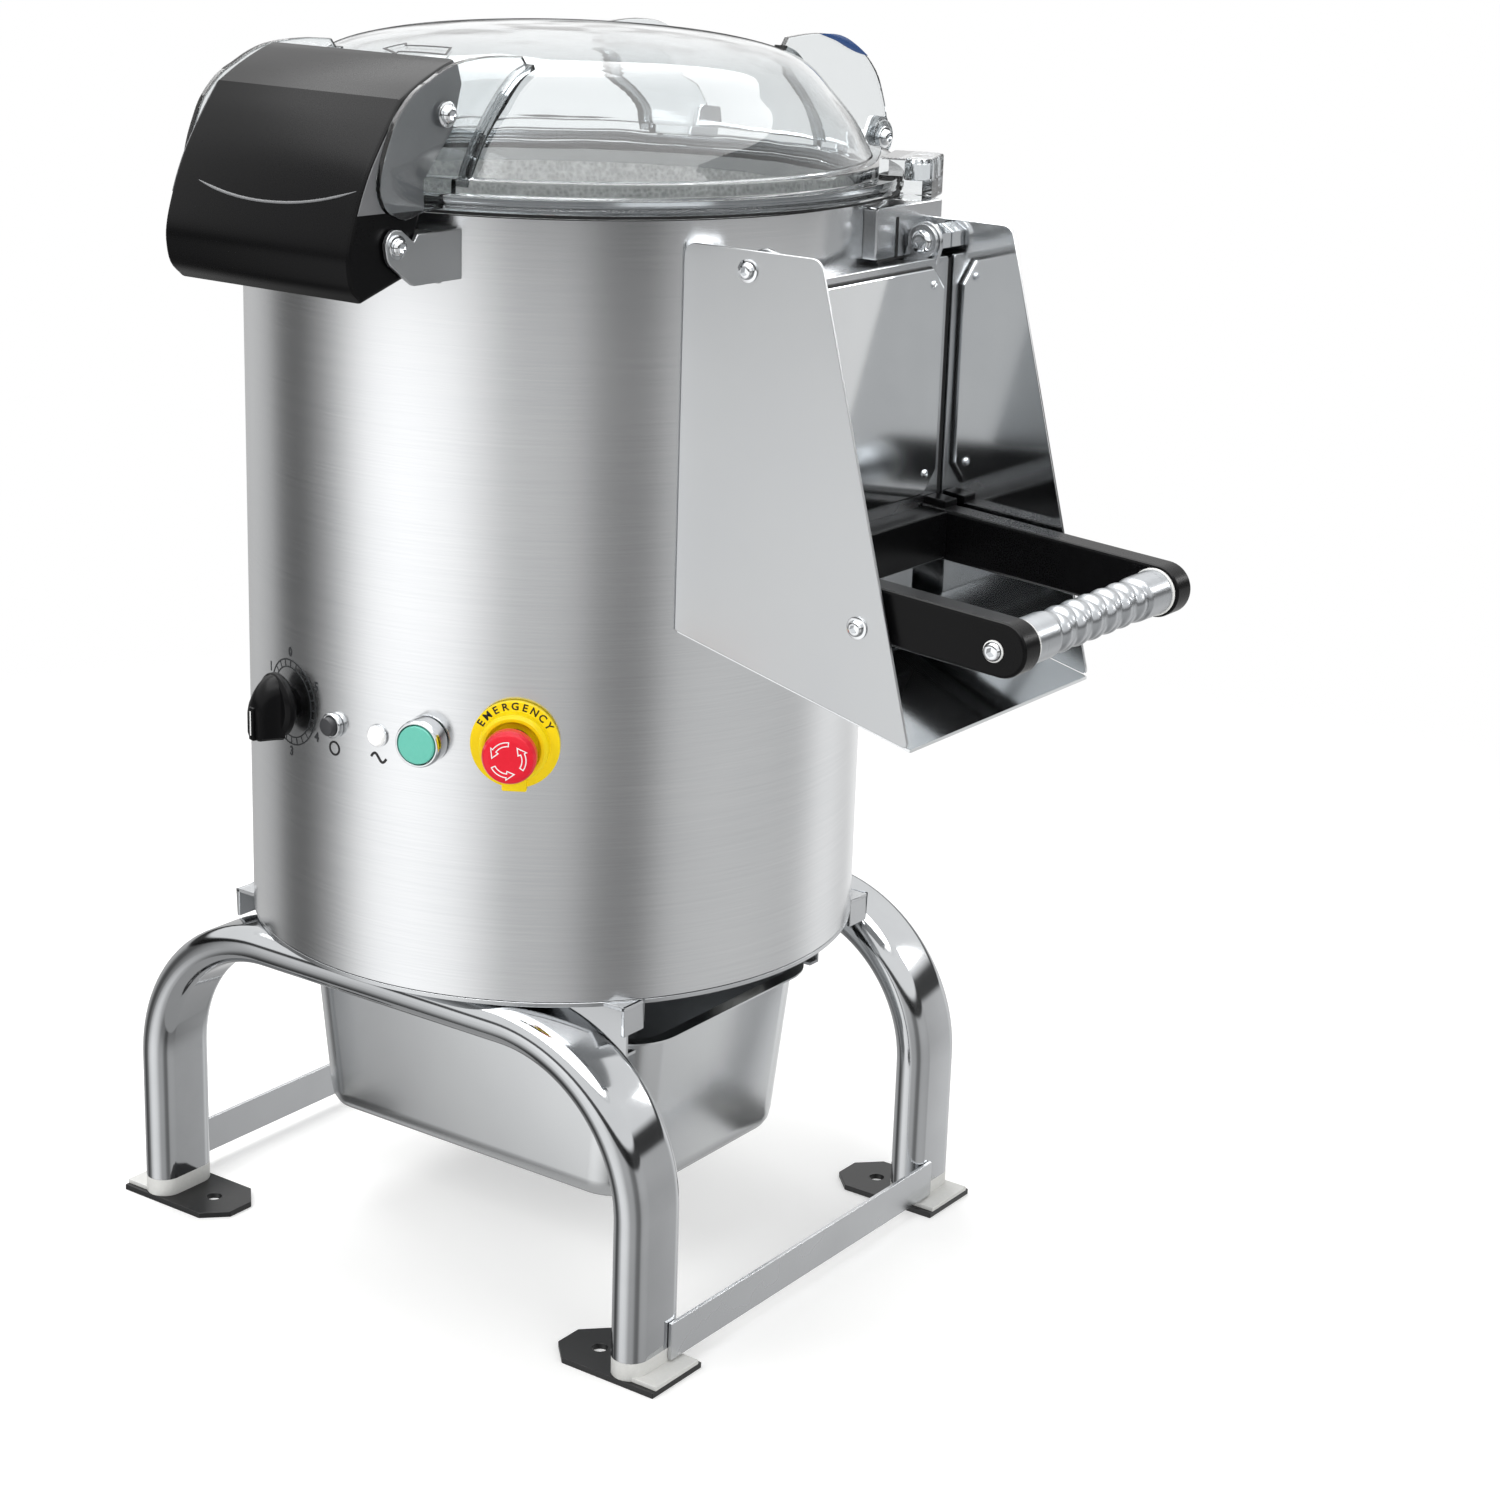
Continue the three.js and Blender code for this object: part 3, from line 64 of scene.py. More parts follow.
# An electric potato peeler. Sizes are in millimetres, measured from the floor under the drum's axis:
# +X is the outlet's side, -Y is the side with the controls, +Z is up. In an outline, a point's third
# number is its own rounding.
mm = 0.001
drumLow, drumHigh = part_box("drum_shell")
drumAxis = Vector(((drumLow.x + drumHigh.x) / 2, (drumLow.y + drumHigh.y) / 2, 0))
scene = bpy.context.scene
white = (1, 1, 1, 1)
maths, vectorMaths = "ShaderNodeMath", "ShaderNodeVectorMath"
print("frame loaded, drum axis at", [round(v, 4) for v in drumAxis])


def addNode(tree, kind, inputs=None, **settings):
    # an input is a value, a socket, or a node that gives its first output
    made = tree.nodes.new(kind)
    for key, value in settings.items():
        setattr(made, key, value)
    for key, value in (inputs or {}).items():
        if isinstance(value, bpy.types.Node):
            value = value.outputs[0]
        if isinstance(value, bpy.types.NodeSocket):
            tree.links.new(value, made.inputs[key])
        else:
            made.inputs[key].default_value = value
    return made


def toLinear(hexColour):
    parts = [int(hexColour[i:i + 2], 16) / 255 for i in (1, 3, 5)]
    return [p / 12.92 if p <= 0.04045 else ((p + 0.055) / 1.055) ** 2.4 for p in parts] + [1]


def newMaterial(name):
    material = bpy.data.materials.new(name)
    material.use_nodes = True
    material.node_tree.nodes.clear()
    return material, material.node_tree


def circle(x, y, radius, steps=32, start=0.0, end=360.0):
    # a whole circle doesn't repeat its first point, an arc has both its ends
    count = steps if end - start == 360 else steps + 1
    turns = [math.radians(start + (end - start) * i / steps) for i in range(count)]
    return [(x + radius * math.cos(t), y + radius * math.sin(t)) for t in turns]


def ring(radius, height, sides=24):
    return [(x, y, height) for x, y in circle(0, 0, radius, sides)]


rounding = {"straight": math.radians(176), "most": 0.48}  # corners left alone, and an arc's share of a side


def rounded(outline, radius, steps=5, closed=True):
    # corners of a flat outline turned to arcs
    result = []
    count = len(outline)
    for i, corner in enumerate(outline):
        here = Vector(corner[:2])
        size = corner[2] if len(corner) > 2 else radius
        before = Vector(outline[i - 1][:2]) - here
        after = Vector(outline[(i + 1) % count][:2]) - here
        opening = before.angle(after, math.pi)
        isEnd = not closed and i in (0, count - 1)
        if size <= 0 or isEnd or opening > rounding["straight"]:
            result.append(tuple(here))
            continue
        most = rounding["most"]
        reach = min(size / math.tan(opening / 2), before.length * most, after.length * most)
        start, end = here + before.normalized() * reach, here + after.normalized() * reach
        for k in range(steps + 1):
            t = k / steps
            result.append(tuple(start * (1 - t) ** 2 + here * 2 * t * (1 - t) + end * t * t))
    return result


def smoothRun(points, steps=6):
    # a curve through the points, which keeps its two ends
    spots = [Vector(p) for p in points]
    spots = [spots[0] * 2 - spots[1]] + spots + [spots[-1] * 2 - spots[-2]]
    result = []
    for a, b, c, d in zip(spots, spots[1:], spots[2:], spots[3:]):
        for k in range(steps):
            t = k / steps
            result.append(tuple(0.5 * (2 * b + (c - a) * t + (2 * a - 5 * b + 4 * c - d) * t * t
                                       + (3 * b - a - 3 * c + d) * t ** 3)))
    return result + [tuple(spots[-2])]


def inset(outline, distance):
    # a closed flat outline moved inwards
    following = outline[1:] + outline[:1]
    hand = 1 if sum(a[0] * b[1] - b[0] * a[1] for a, b in zip(outline, following)) > 0 else -1
    result = []
    for last, point, coming in zip(outline[-1:] + outline[:-1], outline, following):
        before = (Vector(point) - Vector(last)).normalized()
        after = (Vector(coming) - Vector(point)).normalized()
        side = Vector((-before.y - after.y, before.x + after.x)) * hand
        if side.length < 1e-6:
            result.append(tuple(point))
            continue
        side.normalize()
        lean = max(0.5, side.dot(Vector((-before.y, before.x)) * hand))
        result.append(tuple(Vector(point) + side * (distance / lean)))
    return result


def wayAt(points, i):
    # the direction of an open run at one of its points
    return (Vector(points[min(i + 1, len(points) - 1)]) - Vector(points[max(i - 1, 0)])).normalized()


def lathe(profile, steps=96, closed=True):
    # (radius, height) points turned about Z
    points, faces, rings = [], [], []
    for radius, height in profile:
        start = len(points)
        points += ring(radius, height, 1 if radius < 1e-6 else steps)
        rings.append(range(start, len(points)))
    pairs = list(zip(rings, rings[1:]))
    if closed and len(rings[0]) > 1 and len(rings[-1]) > 1:
        pairs.append((rings[-1], rings[0]))
    for low, high in pairs:
        for i in range(steps):
            j = (i + 1) % steps
            face = [low[i % len(low)], low[j % len(low)], high[j % len(high)], high[i % len(high)]]
            face = list(dict.fromkeys(face))
            if len(face) > 2:
                faces.append(face)
    return points, faces


def rod(radius, low, high, steps=24):
    return lathe([(0, low), (radius, low), (radius, high), (0, high)], steps, closed=False)


def loft(rings, joined=False):
    # a skin over rings of equal counts, with its ends closed, or joined to each other
    count, total = len(rings[0]), len(rings)
    points = [tuple(p) for ringPoints in rings for p in ringPoints]
    faces = []
    for i in range(total if joined else total - 1):
        for j in range(count):
            low, high, k = i * count, (i + 1) % total * count, (j + 1) % count
            faces.append([low + j, low + k, high + k, high + j])
    if not joined:
        faces.append(list(range(count)))
        faces.append([(total - 1) * count + j for j in range(count)])
    return points, faces


def laid(run, height, along):
    # a flat outline in space: along x it is in (y, z), along y in (x, z), along z in (x, y)
    return [{"x": (height, u, v), "y": (u, height, v), "z": (u, v, height)}[along] for u, v in run]


def prism(outline, low, high, along="x"):
    return loft([laid(outline, low, along), laid(outline, high, along)])


def softPrism(outline, low, high, along, edge=0.8):
    # a prism whose rims are eased by a small chamfer
    small, middle, turn = inset(outline, edge), inset(outline, edge * 0.3), edge * 0.3
    rims = [(small, low), (middle, low + turn), (outline, low + edge), (outline, high - edge),
            (middle, high - turn), (small, high)]
    return loft([laid(run, height, along) for run, height in rims])


def both(outline, near, far, along, edge):
    # the same plate on either side of the middle
    return [softPrism(outline, *sorted((side * near, side * far)), along, edge) for side in (-1, 1)]


def frameRings(outer, inner, low, high):
    # the rings of a flat frame between two outlines
    return [laid(run, height, "z")
            for run, height in ((outer, low), (outer, high), (inner, high), (inner, low))]


def box(x, y, z):
    return prism([(x[0], y[0]), (x[1], y[0]), (x[1], y[1]), (x[0], y[1])], z[0], z[1], "z")


def placed(shape, matrix):
    return [tuple(matrix @ Vector(p)) for p in shape[0]], shape[1]


def facing(point, direction):
    # a frame whose Z points along the direction
    turn = Vector((0, 0, 1)).rotation_difference(Vector(direction)).to_matrix().to_4x4()
    return Matrix.Translation(point) @ turn


def meshFrom(name, shapes, centre=drumAxis):
    mesh = bpy.data.meshes.new(name)
    points, faces = [], []
    for corners, sides in shapes:
        start = len(points)
        points += [tuple(centre + Vector(p) * mm) for p in corners]
        faces += [[start + i for i in face] for face in sides]
    mesh.from_pydata(points, [], faces)
    work = bmesh.new()
    work.from_mesh(mesh)
    bmesh.ops.remove_doubles(work, verts=work.verts, dist=2e-6)
    bmesh.ops.recalc_face_normals(work, faces=work.faces)
    work.to_mesh(mesh)
    work.free()
    return mesh


def shapeOf(mesh):
    return [tuple(v.co) for v in mesh.vertices], [list(p.vertices) for p in mesh.polygons]


def linked(name, data):
    made = bpy.data.objects.new(name, data)
    scene.collection.objects.link(made)
    return made


def baked(made, others=()):
    # an object's mesh as its modifiers leave it; the object and its helpers are removed
    bpy.context.view_layer.update()
    mesh = bpy.data.meshes.new_from_object(made.evaluated_get(bpy.context.evaluated_depsgraph_get()))
    made.modifiers.clear()
    for old in (made, *others):
        bpy.data.objects.remove(old)
    mesh.materials.clear()
    return mesh


def fused(name, solids, cutters=()):
    # the first shape with the others joined to it and the cutters taken away
    made = [linked(f"{name}{i}", meshFrom(f"{name}{i}", [shape]))
            for i, shape in enumerate([*solids, *cutters])]
    for i, other in enumerate(made[1:], 1):
        step = made[0].modifiers.new(f"Step{i}", "BOOLEAN")
        step.operation = "UNION" if i < len(solids) else "DIFFERENCE"
        step.solver = "EXACT"
        step.object = other
    return baked(made[0], made[1:])


def addPiece(name, shapes, body, material, node="", bevel=0.0, sharp=35):
    # sharp is the angle in degrees over which an edge shows as an edge
    mesh = shapes if isinstance(shapes, bpy.types.Mesh) else meshFrom(name, shapes)
    mesh.name = name
    mesh.materials.append(material)
    mesh.shade_smooth()
    mesh.set_sharp_from_angle(angle=math.radians(sharp))
    made = linked(name, mesh)
    if bevel:
        edge = made.modifiers.new("Edges", "BEVEL")
        edge.width = bevel * mm
        edge.segments = 2
        edge.limit_method = "ANGLE"
        edge.angle_limit = math.radians(sharp)
        edge.harden_normals = True
    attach(made, body)
    if node:
        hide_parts(node)


def newTree(name, inputs):
    # every tree takes its sizes and its finish by name
    tree = bpy.data.node_groups.new(name, "GeometryNodeTree")
    for way in ("OUTPUT", "INPUT"):
        tree.interface.new_socket("Geometry", in_out=way, socket_type="NodeSocketGeometry")
    for label, (kind, value) in {**inputs, "Finish": ("Material", None)}.items():
        item = tree.interface.new_socket(label, in_out="INPUT", socket_type="NodeSocket" + kind)
        if value is not None:
            item.default_value = value
    return tree, addNode(tree, "NodeGroupInput").outputs


def closeTree(tree, shape, finish):
    real = addNode(tree, "GeometryNodeRealizeInstances", {0: shape})
    coated = addNode(tree, "GeometryNodeSetMaterial", {"Geometry": real, "Material": finish})
    addNode(tree, "NodeGroupOutput", {0: coated})


def runTree(name, start, tree, values):
    # the mesh that a node tree makes of a starting mesh
    holder = linked(name, start)
    worker = holder.modifiers.new(name, "NODES")
    worker.node_group = tree
    names = {item.name: item.identifier for item in tree.interface.items_tree if item.in_out == "INPUT"}
    for key, value in values.items():
        worker[names[key]] = value
    return baked(holder)


# the camera stands where the photograph was taken from, fitted to the machine's edges
view = {"azimuth": 34.94, "elevation": 17.45, "roll": 1.94, "focal": 72.14, "sensor": 36, "farthest": 50,
        "place": (1197.3, -1488.9, 926.8)}
azimuth, elevation, roll = (math.radians(view[k]) for k in ("azimuth", "elevation", "roll"))
right = Vector((math.cos(azimuth), math.sin(azimuth), 0))
level = Vector((-math.sin(azimuth), math.cos(azimuth), 0))
ahead = level * math.cos(elevation) - Vector((0, 0, math.sin(elevation)))
above = right.cross(ahead)
across = right * math.cos(roll) + above * math.sin(roll)
upward = above * math.cos(roll) - right * math.sin(roll)
cameraData = bpy.data.cameras.new("PhotoCamera")
cameraData.lens = view["focal"]
cameraData.sensor_width = view["sensor"]
cameraData.clip_end = view["farthest"]
camera = linked("PhotoCamera", cameraData)
camera.matrix_world = Matrix((across, upward, -ahead)).transposed().to_4x4()
camera.matrix_world.translation = drumAxis + Vector(view["place"]) * mm
scene.camera = camera
scene.view_settings.view_transform = "Standard"

# studio: white surroundings, soft lamps, and a graded wall that only shines in the metal
studio = {"ambient": 0.62, "floor": "#e9e9e8", "floorGlow": 0.34, "floorHalf": 9000, "clearFrom": 700,
          "clearTo": 1500, "wall": 2600, "steps": 72, "ceiling": (2300, 2650, 5.0),
          "ground": (2590, -2590, 0.45)}


def lookedAt(tree):
    # 1 for what the camera sees, also in the metal and through the lid, and 0 for the light on the machine
    ray = addNode(tree, "ShaderNodeLightPath").outputs
    direct = addNode(tree, maths, {0: ray["Is Camera Ray"], 1: ray["Is Glossy Ray"]}, operation="MAXIMUM")
    return addNode(tree, maths, {0: direct, 1: ray["Is Transmission Ray"]}, operation="MAXIMUM")


def addStage(name, shape, material):
    mesh = meshFrom(name, [shape])
    mesh.materials.append(material)
    made = linked(name, mesh)
    made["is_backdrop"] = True
    return made


def addReflected(name, shape, tree, material, strength):
    # a glowing card that only the metal sees
    light = addNode(tree, "ShaderNodeEmission", {"Color": white, "Strength": strength})
    addNode(tree, "ShaderNodeOutputMaterial", {"Surface": light})
    card = addStage(name, shape, material)
    card.visible_camera = card.visible_diffuse = card.visible_shadow = card.visible_transmission = False


def addCurve(tree, value, points, straight):
    made = addNode(tree, "ShaderNodeFloatCurve", {"Value": value})
    line = made.mapping.curves[0].points
    line[0].location, line[-1].location = points[0], points[-1]
    for point in points[1:-1]:
        line.new(*point)
    for point in line if straight else ():
        point.handle_type = "VECTOR"
    made.mapping.update()
    return made


world = bpy.data.worlds.new("Studio")
world.use_nodes = True
scene.world = world
sky = world.node_tree
sky.nodes.clear()
strength = addNode(sky, "ShaderNodeMapRange",
                   {"Value": lookedAt(sky), "To Min": studio["ambient"], "To Max": 1.0})
glow = addNode(sky, "ShaderNodeBackground", {"Color": white, "Strength": strength})
addNode(sky, "ShaderNodeOutputWorld", {"Surface": glow})

# the floor is matt, glows a little for the camera and the clear lid, and fades out round the machine
paleFloor, tree = newMaterial("PaleFloor")
glowing = addNode(tree, maths, {0: lookedAt(tree), 1: studio["floorGlow"]}, operation="MULTIPLY")
matt = addNode(tree, "ShaderNodeBsdfDiffuse", {"Color": toLinear(studio["floor"])})
light = addNode(tree, "ShaderNodeEmission", {"Color": white, "Strength": glowing})
lit = addNode(tree, "ShaderNodeAddShader", {0: matt, 1: light})
onFloor = addNode(tree, "ShaderNodeTexCoord").outputs["Object"]
distance = addNode(tree, vectorMaths, {0: onFloor}, operation="LENGTH").outputs["Value"]
span = {"Value": distance, "From Min": studio["clearFrom"] * mm, "From Max": studio["clearTo"] * mm}
gone = addNode(tree, "ShaderNodeMapRange", span, interpolation_type="SMOOTHSTEP")
clear = addNode(tree, "ShaderNodeBsdfTransparent")
faded = addNode(tree, "ShaderNodeMixShader", {0: gone, 1: lit, 2: clear})
addNode(tree, "ShaderNodeOutputMaterial", {"Surface": faded})
half = studio["floorHalf"]
floorCorners = [(-half, -half, 0), (half, -half, 0), (half, half, 0), (-half, half, 0)]
floor = addStage("StudioFloor", (floorCorners, [[0, 1, 2, 3]]), paleFloor)
floor.visible_glossy = False

# how bright the wall is: azimuth in degrees from -Y towards +X, and its tone there
wallTones = [(0, 1.14), (8, 0.94), (15, 0.75), (22, 0.61), (37, 0.56), (46, 0.44), (54, 0.28), (64, 0.24),
             (74, 0.41), (86, 0.59), (121, 0.6), (134, 0.57), (146, 0.73), (160, 0.92), (180, 0.75),
             (200, 0.95), (222, 0.85), (240, 0.5), (256, 0.55), (272, 0.45), (282, 0.2), (292, 0.12),
             (302, 0.23), (314, 0.58), (324, 1.0), (333, 1.22), (342, 1.28), (352, 1.22), (360, 1.14)]
# its lower part is darker, a dark line runs round it just above eye height, and over that it is even
lowerTones = [(0, 0.4), (0.12, 0.5), (0.22, 0.78), (0.3, 0.9), (0.42, 0.9), (0.5, 1), (0.57, 1), (0.59, 0.1),
              (0.66, 0.1), (0.68, 0), (1, 0)]
upperTones = [(0, 0), (0.66, 0), (0.69, 0.575), (1, 0.575)]
toneScale = {"curve": 2, "wall": 2.22, "upper": 2.0}  # a curve holds 0 to 1, so tones are halved in it
gradedWall, tree = newMaterial("GradedWall")
onWall = addNode(tree, "ShaderNodeTexCoord").outputs["Object"]
onWall = addNode(tree, "ShaderNodeSeparateXYZ", {0: onWall}).outputs
backwards = addNode(tree, maths, {0: onWall["Y"], 1: -1.0}, operation="MULTIPLY")
bearing = addNode(tree, maths, {0: onWall["X"], 1: backwards}, operation="ARCTAN2")
share = addNode(tree, maths, {0: bearing, 1: 2 * math.pi}, operation="DIVIDE")
share = addNode(tree, maths, {0: share, 1: 1.0, 2: 0.0}, operation="WRAP")
tone = addCurve(tree, share, [(turn / 360, value / toneScale["curve"]) for turn, value in wallTones], False)
tone = addNode(tree, maths, {0: tone, 1: toneScale["wall"]}, operation="MULTIPLY")
wallHalf = studio["wall"] * mm
height = addNode(tree, "ShaderNodeMapRange",
                 {"Value": onWall["Z"], "From Min": -wallHalf, "From Max": wallHalf})
lower = addCurve(tree, height, lowerTones, True)
tone = addNode(tree, maths, {0: tone, 1: lower}, operation="MULTIPLY")
upper = addCurve(tree, height, upperTones, True)
tone = addNode(tree, maths, {0: upper, 1: toneScale["upper"], 2: tone}, operation="MULTIPLY_ADD")
steps = studio["steps"]
rim = [math.radians(360 * i / steps) for i in range(steps)]
wallPoints = [(studio["wall"] * math.sin(a), -studio["wall"] * math.cos(a), z)
              for z in (-studio["wall"], studio["wall"]) for a in rim]
wallFaces = [[i, (i + 1) % steps, (i + 1) % steps + steps, i + steps] for i in range(steps)]
addReflected("GradedWall", (wallPoints, wallFaces), tree, gradedWall, tone)
for name, (radius, high, brightness) in (("DimGround", studio["ground"]), ("SoftCeiling", studio["ceiling"])):
    card, tree = newMaterial(name)
    cardPoints = [(radius * math.sin(a), -radius * math.cos(a), high) for a in rim]
    addReflected(name, (cardPoints, [list(range(steps))]), tree, card, brightness)

# each lamp: where it stands, its width, its power, and whether the shiny parts show it
lamps = {"Key": ((-500, -2300, 2300), 1700, 34, False), "Fill": ((2600, -900, 1500), 1500, 20, False),
         "Overhead": ((-1500, 700, 2900), 1900, 46, False), "Spark": ((1370, 1955, 1230), 360, 3.4, True)}
lampTarget = drumAxis + Vector((0, 0, 420)) * mm
for name, (stands, width, power, shown) in lamps.items():
    lampData = bpy.data.lights.new(name, "AREA")
    lampData.size = width * mm
    lampData.energy = power
    lamp = linked(name, lampData)
    lamp.location = drumAxis + Vector(stands) * mm
    lamp.rotation_euler = (lampTarget - lamp.location).to_track_quat("-Z", "Y").to_euler()
    lamp.visible_glossy = shown
    lamp.visible_diffuse = not shown
print("camera and studio made")

# how the finishes vary: the fine pattern's detail, a broad drift over the piece, and the range of both
drift = {"detail": 3.0, "fineRoughness": 0.55, "broadScale": 9.0, "broadDetail": 2.0, "low": 0.4, "high": 1.6}


def makeFinish(name, colours, roughness, grain, relief, pattern="noise", **sockets):
    # grain is the pattern's period along X, Y and Z in millimetres, relief its depth in millimetres
    material, tree = newMaterial(name)
    spot = addNode(tree, "ShaderNodeTexCoord").outputs["Object"]
    scaled = addNode(tree, "ShaderNodeMapping",
                     {"Vector": spot, "Scale": [1 / (period * mm) for period in grain]})
    if pattern == "grit":
        field = addNode(tree, "ShaderNodeTexVoronoi", {"Vector": scaled, "Scale": 1.0}).outputs["Distance"]
    else:
        field = addNode(tree, "ShaderNodeTexNoise", {
            "Vector": scaled, "Scale": 1.0, "Detail": drift["detail"],
            "Roughness": drift["fineRoughness"]}).outputs["Fac"]
    broad = addNode(tree, "ShaderNodeTexNoise", {"Vector": spot, "Scale": drift["broadScale"],
                                                 "Detail": drift["broadDetail"]}).outputs["Fac"]
    blend = addNode(tree, maths, {0: field, 1: broad}, operation="ADD")
    span = {"Value": blend, "From Min": drift["low"], "From Max": drift["high"]}
    tone = addNode(tree, "ShaderNodeMapRange", span)
    mix = addNode(tree, "ShaderNodeMix", {0: tone, 6: toLinear(colours[0]), 7: toLinear(colours[1])},
                  data_type="RGBA")
    rough = addNode(tree, "ShaderNodeMapRange", {**span, "To Min": roughness[0], "To Max": roughness[1]})
    shader = addNode(tree, "ShaderNodeBsdfPrincipled",
                     {"Base Color": mix.outputs[2], "Roughness": rough, **sockets})
    if relief:
        bump = addNode(tree, "ShaderNodeBump", {"Height": field, "Distance": relief * mm, "Strength": 1.0})
        tree.links.new(bump.outputs[0], shader.inputs["Normal"])
    addNode(tree, "ShaderNodeOutputMaterial", {"Surface": shader})
    return material


def makeClear(name, colour):
    # injection-moulded clear polycarbonate: sees through, bright and dark at its edges, faintly rippled
    material, tree = newMaterial(name)
    spot = addNode(tree, "ShaderNodeTexCoord").outputs["Object"]
    ripple = addNode(tree, "ShaderNodeTexNoise",
                     {"Vector": spot, "Scale": 22.0, "Detail": 1.0}).outputs["Fac"]
    rough = addNode(tree, "ShaderNodeMapRange", {"Value": ripple, "To Min": 0.0, "To Max": 0.03})
    bump = addNode(tree, "ShaderNodeBump", {"Height": ripple, "Distance": 1.2 * mm, "Strength": 0.25})
    shader = addNode(tree, "ShaderNodeBsdfPrincipled", {
        "Base Color": toLinear(colour), "Roughness": rough, "Normal": bump, "IOR": 1.5,
        "Transmission Weight": 1.0})
    addNode(tree, "ShaderNodeOutputMaterial", {"Surface": shader})
    return material


# stainless sheet brushed round the drum: soft light bands with fine level streaks
brushedSteel = makeFinish("StainlessBrushed", ("#d6d8da", "#e9eaeb"), (0.17, 0.25), (70, 70, 0.7), 0.0016,
                          Metallic=1.0)
# stainless sheet polished on a wheel, in the chute, the rear guard and the door's panel: mirror-like
polishedSteel = makeFinish("StainlessPolished", ("#dddfe1", "#e8eaeb"), (0.05, 0.12), (40, 40, 40), 0,
                           Metallic=1.0)
# stainless tube, bent and buffed, in the arches: bright lines beside dark ones, a shade greyer than sheet
tubeSteel = makeFinish("StainlessTubeBuffed", ("#b6b8ba", "#c8cacc"), (0.06, 0.12), (40, 40, 40), 0,
                       Metallic=1.0)
# deep-drawn stainless of the catch tray: pale with broad soft shine
traySteel = makeFinish("StainlessDeepDrawn", ("#dadcde", "#e6e8e9"), (0.19, 0.25), (60, 60, 60), 0,
                       Metallic=1.0)
# stainless band seen inside the lid's thick rim: dark and glossy
shadedSteel = makeFinish("StainlessInShade", ("#6f7173", "#838587"), (0.1, 0.16), (40, 40, 40), 0,
                         Metallic=1.0)
# stainless sheet with a bright rolled finish, in the front guard and the catch: soft, with no sharp lines
guardSteel = makeFinish("StainlessBrightRolled", ("#bfc1c3", "#cacccd"), (0.3, 0.36), (80, 80, 80), 0,
                        Metallic=1.0)
# stainless sheet with a satin mill finish, in the bars, door and plates: even grey
satinSteel = makeFinish("StainlessSatin", ("#c2c4c6", "#d4d6d8"), (0.22, 0.3), (60, 60, 60), 0, Metallic=1.0)
# steel plated with bright chromium, on the bolts and the button rings: sharp, nearly white reflections
chrome = makeFinish("ChromePlated", ("#dadcde", "#e8eaec"), (0.04, 0.09), (20, 20, 20), 0, Metallic=1.0)
# sand-cast aluminium: dull and slightly pitted
castAlloy = makeFinish("AluminiumCast", ("#9a9b99", "#b8b9b7"), (0.42, 0.6), (3, 3, 3), 0.12, Metallic=1.0)
# turned and anodised aluminium on the door's grip: pale with a soft shine
gripAluminium = makeFinish("AluminiumAnodised", ("#a8abae", "#b8bbbe"), (0.26, 0.32), (30, 1.2, 30), 0.0005,
                           Metallic=1.0)
# moulded black ABS with a fine spark-eroded grain: deep black with a soft sheen
blackPlastic = makeFinish("AbsMouldedBlack", ("#070708", "#0e0e0f"), (0.25, 0.32), (0.9, 0.9, 0.9), 0.003,
                          **{"Specular IOR Level": 0.12})
# compression-moulded nitrile rubber: matt and dead black; the same black on the strips under the lid's flange,
# round the door's panel and beside its leaf is painted shadow
blackRubberAndShadow = makeFinish("RubberMouldedAndPaintedShadow", ("#0b0b0c", "#151516"), (0.6, 0.8), (2, 2, 2), 0.02)
# resin-bonded silicon carbide grit, 2 mm grains drawn at 3 mm so that they show: rough pale grey
abrasiveGrit = makeFinish("CarbideGrit", ("#a9a9a8", "#f0f0ee"), (0.7, 0.95), (3, 3, 3), 0.5, pattern="grit")
# moulded polypropylene in the feet's collars and the pipe: pale grey, slightly waxy
greyPlastic = makeFinish("PolypropyleneGrey", ("#cfcfcc", "#dededb"), (0.38, 0.5), (2, 2, 2), 0.01)
# zinc-plated plates under the feet, painted black: smooth with a little shine
blackPaint = makeFinish("PaintedSteelBlack", ("#101011", "#1c1d1e"), (0.28, 0.42), (5, 5, 5), 0.02)
# white polycarbonate rings on the door's handle: clean and slightly glossy
whitePlastic = makeFinish("PolycarbonateWhite", ("#efefec", "#fafaf8"), (0.2, 0.3), (4, 4, 4), 0)
# milky polycarbonate of the power lamp's lens, with its light on: white with a faint glow
lampPlastic = makeFinish("PolycarbonateMilky", ("#f6f6f4", "#fdfdfc"), (0.12, 0.2), (4, 4, 4), 0,
                         **{"Emission Color": white, "Emission Strength": 0.22})
# moulded nylon of the buttons: even colour with a low sheen
darkPlastic = makeFinish("NylonDarkGrey", ("#303133", "#3c3d40"), (0.3, 0.4), (2, 2, 2), 0.004)
greenPlastic = makeFinish("NylonGreen", ("#5fc2ad", "#72cbb8"), (0.3, 0.4), (2, 2, 2), 0.006)
yellowPlastic = makeFinish("NylonYellow", ("#f6d600", "#fbdf0a"), (0.32, 0.42), (2, 2, 2), 0.006,
                           **{"Specular IOR Level": 0.25})
redPlastic = makeFinish("NylonRed", ("#e2102a", "#ee2036"), (0.26, 0.36), (2, 2, 2), 0.006,
                        **{"Specular IOR Level": 0.3})
# stoved enamel on the motor's casing: blue-grey with a light orange-peel surface
motorPaint = makeFinish("EnamelBlueGrey", ("#39434d", "#45505b"), (0.35, 0.5), (4, 4, 4), 0.08)
# painted steel plates at the ends of the lid's handle: plain mid grey
endPaint = makeFinish("PaintedSteelGrey", ("#6a6b6d", "#737476"), (0.4, 0.5), (5, 5, 5), 0.01)
# a deep blue strip along the top of one of the lid's rear wings, with a low gloss
blueStripFinish = makeFinish("BlueWingStrip", ("#0a3f7c", "#104a8c"), (0.3, 0.4), (5, 5, 5), 0)
